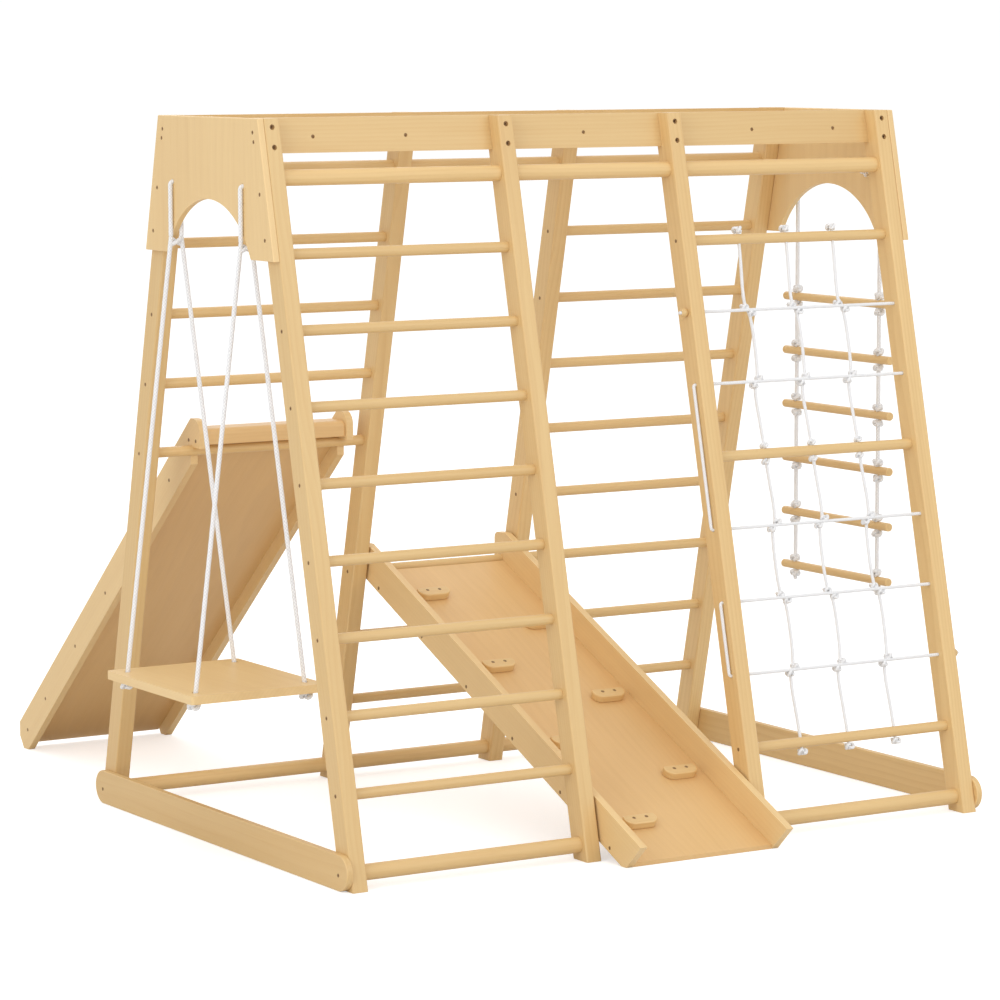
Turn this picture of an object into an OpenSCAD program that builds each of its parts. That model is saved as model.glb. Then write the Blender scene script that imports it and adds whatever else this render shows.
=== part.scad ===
// Indoor climbing frame with a slide, a climbing ramp, a swing, a rope ladder and a net.
// X runs along the frame, -Y is the ramp side, +Y the slide side, Z up, floor at z = 0.
// The modules draw about the middle of the frame; placed() then moves the origin to the
// middle of the whole footprint.

/* [Frame] */
// Overall height
frame_h = 1280; // [1060:1:1540]
// Leg centre line to the middle plane, at the top
top_half = 164; // [150:1:200]
// Leg centre line to the middle plane, at the floor
foot_half = 456; // [400:1:560]
// Clear width of each end bay, between leg faces
end_bay = 433.5; // [390:0.5:520]
// Clear width of the middle bay, between leg faces
middle_bay = 327; // [320:0.5:420]
// Leg width along X
leg_w = 30; // [28:1:40]
// Leg depth across its lean
leg_d = 45; // [42:1:60]
// Rounding along the leg edges
leg_round = 3; // [1:0.5:5]

/* [Boards] */
// Thickness of the end panels and base boards
panel_t = 12; // [9:1:18]
// Height of an end panel
panel_h = 240; // [230:1:280]
// Radius of the panel's arch
arch_r = 176; // [150:1:180]
// Height of the arch above the panel's lower edge
arch_rise = 98; // [80:1:110]
// Height of a base board
base_h = 62; // [50:1:80]
// Height of a top rail
rail_h = 60; // [50:1:70]
// Thickness of a top rail
rail_t = 15; // [12:1:18]

/* [Rungs] */
// Diameter of a climbing rung
rung_d = 19; // [16:1:24]
// Diameter of the thick bars at the top and bottom of the bays
bar_d = 28; // [24:1:32]
// Height of the bottom bars' centre line
bar_z = 27; // [24:1:40]
// How far a rung is let into a leg
rung_let = 8; // [5:1:12]
// Spacing of the monkey bars along the top
monkey_pitch = 183; // [150:1:186]

/* [Slide and ramp] */
// Outside width of the slide
slide_w = 320; // [260:1:360]
// Outside width of the ramp
ramp_w = 320; // [260:1:324]
// Slope of the slide below level
slide_angle = 41.25; // [36:0.25:44]
// Slope of the ramp below level
ramp_angle = 24.1; // [22:0.1:27]
// Thickness of the side boards
side_t = 14; // [12:1:18]
// Depth of the side boards across the slope
side_depth = 64; // [56:1:80]
// Thickness of the slide's and the ramp's beds
bed_t = 9; // [7:0.5:12]
// Slide hook centre above the side board's lower edge
slide_hook_drop = 19.3; // [16:0.1:22]
// Ramp hook centre above the side board's lower edge
ramp_hook_drop = 9; // [7:0.1:12]
// Underside of the slide's bed above the side boards' lower edge
slide_bed_up = 26.5; // [22:0.5:30]
// Underside of the ramp's bed above the side boards' lower edge
ramp_bed_up = 4; // [3:1:8]
// Length of a climbing hold
hold_len = 67; // [50:1:80]
// Thickness of a climbing hold
hold_t = 14; // [11:1:22]

/* [Swing] */
// Seat size along X
seat_w = 262; // [220:1:320]
// Seat size along Y
seat_len = 332; // [300:1:380]
// Seat thickness
seat_t = 15; // [12:1:20]
// Height of the seat's top face
seat_z = 300; // [250:1:400]
// Spacing of the seat's rope holes along X
seat_hole_w = 214; // [180:1:230]
// Rope diameter of the swing and the ladder
rope_d = 8; // [6:0.5:10]
// Half the spacing of the rope holes in an end panel
rope_half = 132; // [110:1:136]
// Depth of the rope holes below the panel's top edge
rope_hole_drop = 116; // [100:1:130]

/* [Ladder] */
// Length of a ladder rung
step_len = 340; // [320:1:380]
// Diameter of a ladder rung
step_d = 16; // [14:1:20]
// Spacing of the ladder rungs
step_pitch = 105.4; // [90:0.1:110]
// Height of the lowest ladder rung
step_low_z = 387; // [380:1:500]
// Number of ladder rungs
step_count = 6; // [4:1:6]

/* [Net] */
// Diameter of the net's ropes
net_d = 6; // [4:0.5:7]
// First upright rope, from the inner face of leg 3
net_first = 107; // [80:1:120]
// Spacing of the net's upright ropes
net_pitch = 105; // [80:1:110]

/* [Hidden] */
$fn = 48;
// Clearances: a rung in its socket, a screw in its hole, a hook on its rung, a board in its notch
socket_gap = 0.1;
screw_gap = 0.05;
hook_gap = 0.08;
notch_gap = 0.1;
rope_gap = 0.5;
touch_gap = 0.3;
lean = atan((foot_half - top_half) / frame_h);
half_face = leg_d / 2 / cos(lean);
leg_x = [
    -(middle_bay / 2 + leg_w * 1.5 + end_bay),
    -(middle_bay + leg_w) / 2,
    (middle_bay + leg_w) / 2,
    middle_bay / 2 + leg_w * 1.5 + end_bay
];
end_face = leg_x[3] + leg_w / 2;
panel_face = end_face + panel_t;
last = 9;
top_bar_drop = 101;
rung_pitch = (frame_h - top_bar_drop - bar_z) / last;
FRONT = -1;
REAR = 1;

// Rungs of each bay: position 1 is the highest
front_left_rungs = [1, 2, 3, 4, 5, 6, 7, 8];
front_right_rungs = [1, 4, 8];
rear_left_rungs = [1, 2, 3];
slide_rung = 4;
ramp_rung = 6;
rear_middle_rungs = [7, 8];
rear_right_rungs = [1, 2, 3, 4, 5, 6, 7, 8];

// Screws and bolts
screw_head_d = 7;
screw_head_t = 2;
screw_d = 4;
screw_bite = 26;
screw_lead = 3;
bolt_d = 6;
bolt_head_d = 9;
bolt_head_t = 6;
bolt_sink = 9;
insert_d = 9;
insert_len = 12;
bolt_drop = [15, 49];
panel_screw_drop = [24, 40, 128, 205];

wood = [0.91, 0.77, 0.56];
wood_pale = [0.93, 0.80, 0.61];
steel = [0.62, 0.60, 0.56];
rope_white = [0.96, 0.95, 0.93];

function pos_z(k) = bar_z + rung_pitch * (last - k);
function leg_y(z) = foot_half + (top_half - foot_half) * z / frame_h;

// Across-the-leg distance y in the leaning plane, measured level at height z
function face_y(z, y) = leg_y(z) - y / cos(lean);

// ---------------------------------------------------------------- helpers

// Runs its children in the leaning plane of one side's legs: z along the leg, +y into the frame
module in_leg_plane(side) {
    mirror([0, side == REAR ? 1 : 0, 0])
        translate([0, -foot_half, 0])
            rotate([-lean, 0, 0])
                children();
}

// Distance along the leg to a point of its centre line at height z
function along(z) = z / cos(lean);

// Runs its children at a rung position, on the leg's centre line
module at_rung(side, z) {
    translate([0, side * leg_y(z), z])
        children();
}

// Cylinder along +X from x0 to x1
module x_rod(x0, x1, d) {
    translate([x0, 0, 0])
        rotate([0, 90, 0])
            cylinder(h = x1 - x0, d = d);
}

// Wood screw with its head's face at the origin, pointing along +Z
module wood_screw(bite) {
    cylinder(h = screw_head_t, d1 = screw_head_d, d2 = screw_d);
    translate([0, 0, screw_head_t])
        cylinder(h = bite - screw_head_t, d = screw_d);
}

// Hole for wood_screw, open outwards, and a little longer so that the tip stays free
module screw_hole(bite) {
    translate([0, 0, -screw_lead])
        cylinder(h = screw_lead + 0.001, d = screw_head_d + 2 * screw_gap);
    cylinder(h = screw_head_t, d1 = screw_head_d + 2 * screw_gap, d2 = screw_d + 2 * screw_gap);
    translate([0, 0, screw_head_t - 0.001])
        cylinder(h = bite - screw_head_t + 0.5, d = screw_d + 2 * screw_gap);
}

// Rounded bar section, standing on the XY plane
module rounded_section(w, d, r) {
    square([w - 2 * r, d], center = true);
    square([w, d - 2 * r], center = true);
    for (sx = [-1, 1])
        for (sy = [-1, 1])
            translate([sx * (w / 2 - r), sy * (d / 2 - r)])
                circle(r = r);
}

// ---------------------------------------------------------------- legs

// Rungs and bars that are let into the faces of leg i: [positions], face -1 left or +1 right
function left_sockets(side, i) =
    i == 0 ? [] :
    side == FRONT ? (i == 1 ? front_left_rungs : i == 3 ? front_right_rungs : []) :
    i == 1 ? concat(rear_left_rungs, [slide_rung]) :
    i == 2 ? concat([ramp_rung], rear_middle_rungs) : rear_right_rungs;
function right_sockets(side, i) =
    i == 3 ? [] :
    side == FRONT ? (i == 0 ? front_left_rungs : i == 2 ? front_right_rungs : []) :
    i == 0 ? concat(rear_left_rungs, [slide_rung]) :
    i == 1 ? concat([ramp_rung], rear_middle_rungs) : rear_right_rungs;

// Screws that come in from a leg's left face (-1) or right face (+1), where no rung is in the way
function has(list, k) = len([for (v = list) if (v == k) 1]) > 0;
function screws_from_left(side, i) =
    [for (k = right_sockets(side, i)) if (!has(left_sockets(side, i), k)) k];
function screws_from_right(side, i) =
    [for (k = left_sockets(side, i)) if (!has(right_sockets(side, i), k)) k];

module leg_screw_set(side, i, hole) {
    bite = leg_w - rung_let + screw_bite;
    for (k = screws_from_left(side, i))
        translate([leg_x[i] - leg_w / 2, side * leg_y(pos_z(k)), pos_z(k)])
            rotate([0, 90, 0])
                if (hole) screw_hole(bite); else wood_screw(bite);
    for (k = screws_from_right(side, i))
        translate([leg_x[i] + leg_w / 2, side * leg_y(pos_z(k)), pos_z(k)])
            rotate([0, -90, 0])
                if (hole) screw_hole(bite); else wood_screw(bite);
}

// Bottom bars run from leg a to leg b; the front middle bay is left open for the ramp
bottom_bars = [[FRONT, 0, 1], [FRONT, 2, 3], [REAR, 0, 3]];

module bar_between(side, a, b, z, d, gap) {
    at_rung(side, z)
        x_rod(leg_x[a] + leg_w / 2 - rung_let - gap, leg_x[b] - leg_w / 2 + rung_let + gap, d + 2 * gap);
}

// Runs its children level into the leg from its outer face, at both bolt heights
module bolt_places(side) {
    for (drop = bolt_drop)
        translate([0, side * face_y(frame_h - drop, -leg_d / 2), frame_h - drop])
            rotate([side * 90, 0, 0])
                children();
}
through = leg_d / cos(lean);

module leg_blank(side, i) {
    intersection() {
        in_leg_plane(side)
            translate([leg_x[i], 0, -leg_d])
                linear_extrude(along(frame_h) + 2 * leg_d)
                    rounded_section(leg_w, leg_d, leg_round);
        translate([leg_x[i] - leg_w, -foot_half - leg_d * 2, 0])
            cube([leg_w * 2, 2 * foot_half + leg_d * 4, frame_h]);
    }
}

module leg(side, i) {
    color(wood)
        difference() {
            leg_blank(side, i);
            rail_solid(side, notch_gap);
            for (k = left_sockets(side, i))
                at_rung(side, pos_z(k))
                    x_rod(leg_x[i] - leg_w, leg_x[i] - leg_w / 2 + rung_let + socket_gap,
                        rung_d + 2 * socket_gap);
            for (k = right_sockets(side, i))
                at_rung(side, pos_z(k))
                    x_rod(leg_x[i] + leg_w / 2 - rung_let - socket_gap, leg_x[i] + leg_w,
                        rung_d + 2 * socket_gap);
            bar_between(side, 0, 3, pos_z(0), bar_d, socket_gap);
            for (b = bottom_bars)
                if (b[0] == side && i >= b[1] && i <= b[2])
                    bar_between(side, b[1], b[2], bar_z, bar_d, socket_gap);
            leg_screw_set(side, i, true);
            if (i == 0 || i == 3) {
                end_bar_screws(side, i, true);
                panel_screw_set(side, i, true);
                base_screw_set(side, i, true);
            }
            translate([leg_x[i], 0, 0])
                bolt_places(side) {
                    translate([0, 0, -5])
                        cylinder(h = 5 + bolt_sink, d = bolt_head_d + 0.6);
                    cylinder(h = leg_d, d = bolt_d + 2 * screw_gap);
                }
            if (side == FRONT && i >= 2)
                net_leg_holes(i);
        }
}

// ---------------------------------------------------------------- boards of the frame

// Top rail in its notch on the inner side of the legs, level at its top and bottom edges
module rail_solid(side, gap) {
    y_out = leg_d / 2 - rail_t;
    intersection() {
        in_leg_plane(side)
            translate([-end_face, y_out - gap, 0])
                cube([2 * end_face, rail_t + gap * 2, along(frame_h) + leg_d]);
        translate([-end_face - gap, -foot_half * 2, frame_h - rail_h - gap])
            cube([2 * (end_face + gap), foot_half * 4, rail_h + gap]);
    }
}

monkey_let = 8;
monkey_d = rung_d;
monkey_z = frame_h - 32.5;
monkey_y = face_y(monkey_z, leg_d / 2);
monkey_rail_y = face_y(monkey_z, leg_d / 2 - rail_t);

module monkey_rod(d, gap) {
    for (n = [-3:3])
        translate([n * monkey_pitch, monkey_y + monkey_let + gap, monkey_z])
            rotate([90, 0, 0])
                cylinder(h = 2 * (monkey_y + monkey_let + gap), d = d + 2 * gap);
}

monkey_bite = 34;
monkey_sink = 1;

module monkey_screw_set(side, hole) {
    for (n = [-3:3])
        translate([n * monkey_pitch, side * (monkey_rail_y - monkey_sink), monkey_z])
            rotate([side * 90, 0, 0])
                if (hole) screw_hole(monkey_bite); else wood_screw(monkey_bite);
}

module top_rail(side) {
    color(wood)
        difference() {
            rail_solid(side, 0);
            for (x = leg_x)
                translate([x, 0, 0])
                    bolt_places(side) {
                        translate([0, 0, through - insert_len - 1])
                            cylinder(h = insert_len + 5, d = insert_d + 2 * screw_gap);
                        cylinder(h = leg_d, d = bolt_d + 2 * screw_gap);
                    }
            monkey_rod(monkey_d, socket_gap);
            monkey_screw_set(side, true);
        }
}

module panel_outline() {
    y_top = top_half + half_face;
    y_low = leg_y(frame_h - panel_h) + half_face;
    difference() {
        polygon([[-y_top, frame_h], [-y_low, frame_h - panel_h], [y_low, frame_h - panel_h], [y_top, frame_h]]);
        translate([0, frame_h - panel_h + arch_rise - arch_r])
            circle(r = arch_r, $fn = 96);
        for (s = [-1, 1])
            translate([s * rope_half, frame_h - rope_hole_drop])
                circle(d = rope_d + 2 * rope_gap);
    }
}

// Stands a YZ outline of thickness t on the plane x = x0, growing along +X
module yz_board(x0, t) {
    translate([x0, 0, 0])
        rotate([90, 0, 90])
            linear_extrude(t)
                children();
}

panel_bite = panel_t + leg_w / 2 - bolt_d / 2 - 2;

module panel_screw_set(side, i, hole) {
    s = i == 0 ? -1 : 1;
    for (drop = panel_screw_drop)
        translate([s * panel_face, side * leg_y(frame_h - drop), frame_h - drop])
            rotate([0, -s * 90, 0])
                if (hole) screw_hole(panel_bite); else wood_screw(panel_bite);
}

module arch_panel(i) {
    s = i == 0 ? -1 : 1;
    color(wood_pale)
        difference() {
            yz_board(s == 1 ? end_face : -panel_face, panel_t)
                panel_outline();
            for (side = [FRONT, REAR])
                panel_screw_set(side, i, true);
        }
}

module base_screw_set(side, i, hole) {
    s = i == 0 ? -1 : 1;
    bite = panel_t + leg_w - rung_let + screw_bite;
    translate([s * panel_face, side * leg_y(bar_z), bar_z])
        rotate([0, -s * 90, 0])
            if (hole) screw_hole(bite); else wood_screw(bite);
}

module base_board(i) {
    s = i == 0 ? -1 : 1;
    y_end = leg_y(bar_z);
    color(wood)
        difference() {
            yz_board(s == 1 ? end_face : -panel_face, panel_t) {
                translate([-y_end, 0])
                    square([2 * y_end, base_h]);
                for (e = [-1, 1])
                    translate([e * y_end, base_h / 2])
                        circle(d = base_h, $fn = 64);
            }
            for (side = [FRONT, REAR])
                base_screw_set(side, i, true);
        }
}

// ---------------------------------------------------------------- rungs and bars

// Screws into the top bars' ends come through the legs, under the end panels
module end_bar_screws(side, i, hole) {
    s = i == 0 ? -1 : 1;
    bite = leg_w - rung_let + screw_bite;
    translate([s * end_face, side * leg_y(pos_z(0)), pos_z(0)])
        rotate([0, -s * 90, 0])
            if (hole) screw_hole(bite); else wood_screw(bite);
}

module all_rung_screws(hole) {
    for (side = [FRONT, REAR])
        for (i = [0:3]) {
            leg_screw_set(side, i, hole);
            if (i == 0 || i == 3) {
                end_bar_screws(side, i, hole);
                base_screw_set(side, i, hole);
            }
        }
}

module rung(side, a, k) {
    difference() {
        at_rung(side, pos_z(k))
            x_rod(leg_x[a] + leg_w / 2 - rung_let, leg_x[a + 1] - leg_w / 2 + rung_let, rung_d);
        for (i = [a, a + 1])
            leg_screw_set(side, i, true);
        if (side == FRONT && a == 2)
            net_rung_holes();
    }
}

module rungs(side, a, list) {
    color(wood_pale)
        for (k = list)
            rung(side, a, k);
}

module thick_bar(side, a, b, z) {
    color(wood_pale)
        difference() {
            bar_between(side, a, b, z, bar_d, 0);
            for (i = [0, 3]) {
                end_bar_screws(side, i, true);
                base_screw_set(side, i, true);
            }
        }
}

module monkey_bars() {
    color(wood_pale)
        difference() {
            monkey_rod(monkey_d, 0);
            for (side = [FRONT, REAR])
                monkey_screw_set(side, true);
        }
}

// ---------------------------------------------------------------- fasteners of the frame

module leg_bolts() {
    color(steel)
        for (side = [FRONT, REAR])
            for (x = leg_x)
                translate([x, 0, 0])
                    bolt_places(side)
                        translate([0, 0, bolt_sink - bolt_head_t])
                            difference() {
                                union() {
                                    cylinder(h = bolt_head_t, d = bolt_head_d);
                                    translate([0, 0, bolt_head_t])
                                        cylinder(h = leg_d - bolt_sink - 4, d = bolt_d);
                                }
                                translate([0, 0, -0.01])
                                    cylinder(h = 3.5, d = 5, $fn = 6);
                            }
}

module insert_nuts() {
    color(steel)
        for (side = [FRONT, REAR])
            for (x = leg_x)
                translate([x, 0, 0])
                    bolt_places(side)
                        translate([0, 0, through - insert_len - 1])
                            difference() {
                                cylinder(h = insert_len, d = insert_d);
                                translate([0, 0, -1])
                                    cylinder(h = insert_len + 2, d = bolt_d + 2 * screw_gap);
                            }
}

module rung_screws() {
    color(steel)
        all_rung_screws(false);
}

module panel_screws() {
    color(steel)
        for (side = [FRONT, REAR])
            for (i = [0, 3])
                panel_screw_set(side, i, false);
}

module monkey_bar_screws() {
    color(steel)
        for (side = [FRONT, REAR])
            monkey_screw_set(side, false);
}

// ---------------------------------------------------------------- slide and ramp

// A chute is drawn in its own plane: q runs downhill along the floor from the hook, z is height.
hook_r = rung_d / 2 + hook_gap;
// Nose of a side board over its rung: height above the rung, reach past it, corner radius
slide_nose = [59, 36, 26];
ramp_nose = [52, 22, 12];
toe_h = 23;
toe_back = 18;
slide_hook = [leg_y(pos_z(slide_rung)), pos_z(slide_rung)];
ramp_hook = [leg_y(pos_z(ramp_rung)), pos_z(ramp_rung)];
slide_x = -392;

function upper_z(hz, a, drop, q) = hz + (side_depth - drop) / cos(a) - q * tan(a);
function lower_z(hz, a, drop, q) = hz - drop / cos(a) - q * tan(a);
function upper_q(hz, a, drop, z) = (hz + (side_depth - drop) / cos(a) - z) / tan(a);
function lower_q(hz, a, drop, z) = (hz - drop / cos(a) - z) / tan(a);

// Side board outline with its hook; end_q is where the toe stops, toe_z the height of its front.
// With a lip the hook grips the rung from both sides, without one the nose just lies over it.
module side_outline(hz, a, drop, end_q, toe_z, back, nose, lip) {
    slot = drop / cos(a) + hook_r * tan(a) + 1;
    top = hz + nose[0];
    tip = -nose[1];
    difference() {
        polygon([
            [upper_q(hz, a, drop, top), top],
            [end_q, upper_z(hz, a, drop, end_q)],
            [end_q, toe_z],
            [end_q - back, 0],
            [lower_q(hz, a, drop, 0), 0],
            [tip, lower_z(hz, a, drop, tip)],
            [tip, top]
        ]);
        translate([tip, top])
            rotate(-90)
                corner_cut(nose[2]);
        translate([0, hz])
            circle(r = hook_r);
        if (lip)
            translate([-hook_r, hz - slot])
                square([2 * hook_r, slot]);
        else
            translate([tip - 1, hz - slot])
                square([1 - tip, slot + 0.6 * hook_r]);
    }
}

// Takes a corner at the origin, whose sides run along +X and +Y, down to a radius
module corner_cut(r) {
    difference() {
        translate([-1, -1])
            square(r + 1);
        translate([r, r])
            circle(r = r);
    }
}

// Bed outline between two distances above the lower edge, from q0 to the toe
module bed_outline(hz, a, drop, up, q0, q1) {
    intersection() {
        polygon([
            for (p = [[q0, up], [q1 + 60, up], [q1 + 60, up + bed_t], [q0, up + bed_t]])
                [p[0], lower_z(hz, a, drop, p[0]) + p[1] / cos(a)]
        ]);
        translate([q0, 0])
            square([q1 - q0, frame_h]);
    }
}

slide_end = lower_q(slide_hook[1], slide_angle, slide_hook_drop, 0) + 39;
slide_bed_start = 16;
slide_bed_end = slide_end - 7;
ramp_toe = 60;
ramp_end = lower_q(ramp_hook[1], ramp_angle, ramp_hook_drop, 0) + ramp_toe;
ramp_bed_start = 13;
ramp_bed_end = ramp_end - ramp_toe + 15;

module slide_board(x0, t) {
    translate([0, slide_hook[0], 0])
        yz_board(x0, t)
            children();
}

// Ramp outlines are drawn the same way and turned to run downhill towards -Y
module ramp_board(x0, t) {
    translate([0, ramp_hook[0], 0])
        mirror([0, 1, 0])
            yz_board(x0, t)
                children();
}

function slide_point(q, up) =
    [q, lower_z(slide_hook[1], slide_angle, slide_hook_drop, q) + up / cos(slide_angle)];
function ramp_point(q, up) =
    [q, lower_z(ramp_hook[1], ramp_angle, ramp_hook_drop, q) + up / cos(ramp_angle)];

slide_screw_q = [90, 368, 506, 647, 733];
ramp_screw_q = [60, 220, 380, 540, 700, 860];
block_q = [-31, 22];
block_gap = 2;
block_h = 30;
block_z = slide_hook[1] + rung_d / 2 + block_gap;
block_screw_q = [-20, 8];
side_bite = side_t + 22;

module slide_screw_set(s, hole) {
    x = slide_x + s * slide_w / 2;
    spots = concat(
        [for (q = slide_screw_q) slide_point(q, slide_bed_up + bed_t / 2)],
        [for (q = block_screw_q) [q, block_z + 7]]
    );
    for (p = spots)
        translate([x, slide_hook[0] + p[0], p[1]])
            rotate([0, -s * 90, 0])
                if (hole) screw_hole(side_bite); else wood_screw(side_bite);
}

module slide_side(s) {
    x0 = s == -1 ? slide_x - slide_w / 2 : slide_x + slide_w / 2 - side_t;
    color(wood)
        difference() {
            slide_board(x0, side_t)
                side_outline(slide_hook[1], slide_angle, slide_hook_drop, slide_end, toe_h, toe_back,
                    slide_nose, false);
            slide_screw_set(s, true);
        }
}

module slide_bed() {
    color(wood_pale)
        difference() {
            slide_board(slide_x - slide_w / 2 + side_t, slide_w - 2 * side_t)
                bed_outline(slide_hook[1], slide_angle, slide_hook_drop, slide_bed_up,
                    slide_bed_start, slide_bed_end);
            for (s = [-1, 1])
                slide_screw_set(s, true);
        }
}

module slide_top_block() {
    r = 12;
    color(wood)
        difference() {
            slide_board(slide_x - slide_w / 2 + side_t, slide_w - 2 * side_t) {
                translate([block_q[0], block_z])
                    square([block_q[1] - block_q[0], block_h - r]);
                translate([block_q[0] + r, block_z])
                    square([block_q[1] - block_q[0] - r, block_h]);
                translate([block_q[0] + r, block_z + block_h - r])
                    circle(r = r);
            }
            for (s = [-1, 1])
                slide_screw_set(s, true);
        }
}

module slide_screws() {
    color(steel)
        for (s = [-1, 1])
            slide_screw_set(s, false);
}

module ramp_screw_set(s, hole) {
    for (q = ramp_screw_q) {
        p = ramp_point(q, ramp_bed_up + bed_t / 2);
        translate([s * ramp_w / 2, ramp_hook[0] - p[0], p[1]])
            rotate([0, -s * 90, 0])
                if (hole) screw_hole(side_bite); else wood_screw(side_bite);
    }
}

module ramp_side(s) {
    color(wood)
        difference() {
            ramp_board(s == -1 ? -ramp_w / 2 : ramp_w / 2 - side_t, side_t)
                side_outline(ramp_hook[1], ramp_angle, ramp_hook_drop, ramp_end,
                    upper_z(ramp_hook[1], ramp_angle, ramp_hook_drop, ramp_end) - 1, ramp_toe - 15,
                    ramp_nose, true);
            ramp_screw_set(s, true);
        }
}

module ramp_bed() {
    color(wood_pale)
        difference() {
            ramp_board(-ramp_w / 2 + side_t, ramp_w - 2 * side_t)
                bed_outline(ramp_hook[1], ramp_angle, ramp_hook_drop, ramp_bed_up,
                    ramp_bed_start, ramp_bed_end);
            for (s = [-1, 1])
                ramp_screw_set(s, true);
            hold_places()
                hold_screw_pair(true);
        }
}

// Climbing holds alternate left and right down the ramp
hold_first_q = 106;
hold_pitch_q = 118;
hold_count = 7;
hold_x = [-70, 94];
hold_depth = 34;
hold_screw_half = 13;
hold_bite = hold_t + bed_t - 2;

module hold_places() {
    for (n = [0:hold_count - 1]) {
        p = ramp_point(hold_first_q + n * hold_pitch_q, ramp_bed_up + bed_t);
        translate([hold_x[n % 2], ramp_hook[0] - p[0], p[1]])
            rotate([ramp_angle, 0, 0])
                children();
    }
}

module hold_screw_pair(hole) {
    for (s = [-1, 1])
        translate([s * hold_screw_half, 0, hold_t])
            rotate([180, 0, 0])
                if (hole) screw_hole(hold_bite); else wood_screw(hold_bite);
}

// One hold: a bean-shaped block, flat on the uphill side
module hold_block() {
    r = hold_depth / 2;
    linear_extrude(hold_t) {
        intersection() {
            union() {
                for (s = [-1, 1])
                    translate([s * (hold_len / 2 - r), 0])
                        circle(r = r);
                square([hold_len - 2 * r, hold_depth], center = true);
            }
            translate([-hold_len / 2, -r])
                square([hold_len, hold_depth * 0.78]);
        }
    }
}

module climbing_holds() {
    color(wood_pale)
        hold_places()
            difference() {
                hold_block();
                hold_screw_pair(true);
            }
}

module hold_screws() {
    color(steel)
        hold_places()
            hold_screw_pair(false);
}

module ramp_screws() {
    color(steel)
        for (s = [-1, 1])
            ramp_screw_set(s, false);
}

// ---------------------------------------------------------------- ropes

// Sweeps a round tube along points that lie in one plane with normal nrm
function unit(v) = v / norm(v);
function tangent(pts, i) = unit(pts[min(i + 1, len(pts) - 1)] - pts[max(i - 1, 0)]);
function ring(pts, i, r, n, nrm) =
    let (t = tangent(pts, i), u = cross(nrm, t))
    [for (k = [0:n - 1]) pts[i] + r * (cos(360 * k / n) * u + sin(360 * k / n) * cross(t, u))];

module tube(pts, d, n, nrm) {
    m = len(pts);
    verts = [for (i = [0:m - 1]) each ring(pts, i, d / 2, n, nrm)];
    sides = [for (i = [0:m - 2]) for (k = [0:n - 1])
        [i * n + k, (i + 1) * n + k, (i + 1) * n + (k + 1) % n, i * n + (k + 1) % n]];
    caps = [[for (k = [0:n - 1]) k], [for (k = [0:n - 1]) m * n - 1 - k]];
    polyhedron(verts, concat(caps, sides));
}

// Points of a quarter bend in the XZ plane, of radius r about c, from angle a0 to a1
function bend(c, r, a0, a1) =
    [for (t = [0:0.25:1]) c + r * [cos(a0 + (a1 - a0) * t), 0, sin(a0 + (a1 - a0) * t)]];

// Knot round an upright rope of diameter d, radius r and height h, standing on z = 0
module knot_ring(r, h, d) {
    soft = h * 0.3;
    rotate_extrude()
        polygon([
            [d / 2, 0], [r - soft / 2, 0], [r, soft],
            [r, h - soft], [r - soft / 2, h], [d / 2, h]
        ]);
}

// Straight rope between two points
module strand(a, b, d) {
    v = b - a;
    translate(a)
        rotate([0, acos(v[2] / norm(v)), atan2(v[1], v[0])])
            cylinder(h = norm(v), d = d);
}

// ---------------------------------------------------------------- swing

bend_r = rope_d / 2 + 1;
hole_z = frame_h - rope_hole_drop;
arch_z = frame_h - panel_h + arch_rise - arch_r;
swing_x = -(end_face + panel_t / 2);
swing_turn = 35;
arch_clear = 12;
pivot_z = arch_z + sqrt(pow(arch_r - arch_clear, 2) - pow(rope_half, 2));
under_z = seat_z - seat_t;
strand_off = panel_t / 2 + rope_d / 2 + 1;
wrap_r = 7;
wrap_len = 16;
seat_knot_r = 9;
seat_knot_h = 15;

function strand_top(sx, sy) = [swing_x + sx * strand_off, sy * rope_half, pivot_z];
function strand_hole(sx, sy) = [swing_x + sx * seat_hole_w / 2, sy * rope_half, seat_z - seat_t / 2];
function strand_foot(sx, sy) =
    strand_hole(sx, sy)
        + (seat_t / 2 + seat_knot_h) * unit(strand_hole(sx, sy) - strand_top(sx, sy));

module swing_seat() {
    color(wood_pale)
        difference() {
            translate([swing_x, 0, under_z])
                linear_extrude(seat_t)
                    rounded_section(seat_w, seat_len, 6);
            for (sx = [-1, 1])
                for (sy = [-1, 1])
                    translate([swing_x + sx * seat_hole_w / 2, sy * rope_half, under_z - 1])
                        cylinder(h = seat_t + 2, d = rope_d + 4);
        }
}

module swing_rope(sy) {
    color(rope_white)
        for (sx = [-1, 1])
            strand(strand_top(sx, sy), strand_foot(sx, sy), rope_d);
}

// The wraps under the panel turn with the swing, the knots under the seat hold it up
module swing_knots() {
    color(rope_white)
        for (sy = [-1, 1]) {
            translate([swing_x - wrap_len / 2, sy * rope_half, pivot_z])
                rotate([0, 90, 0])
                    knot_ring(wrap_r, wrap_len, 0);
            for (sx = [-1, 1])
                translate([strand_foot(sx, sy)[0], sy * rope_half, under_z - seat_knot_h])
                    knot_ring(seat_knot_r, seat_knot_h, 0);
        }
}

// Rope through the panel's hole and down both sides of it to the knot under the arch
loop_half = panel_t / 2 + rope_d / 2 + touch_gap;
loop_foot = (strand_off + rope_d / 2) * sin(swing_turn) + 1;

module swing_loop(sy) {
    low = pivot_z + loop_foot;
    turn = loop_half - bend_r;
    color(rope_white)
        translate([swing_x, sy * rope_half, 0])
            tube(concat(
                [[-loop_half, 0, low]],
                bend([-turn, 0, hole_z - bend_r], bend_r, 180, 90),
                bend([turn, 0, hole_z - bend_r], bend_r, 90, 0),
                [[loop_half, 0, low]]
            ), rope_d, 10, [0, 1, 0]);
}

// ---------------------------------------------------------------- rope ladder

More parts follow.
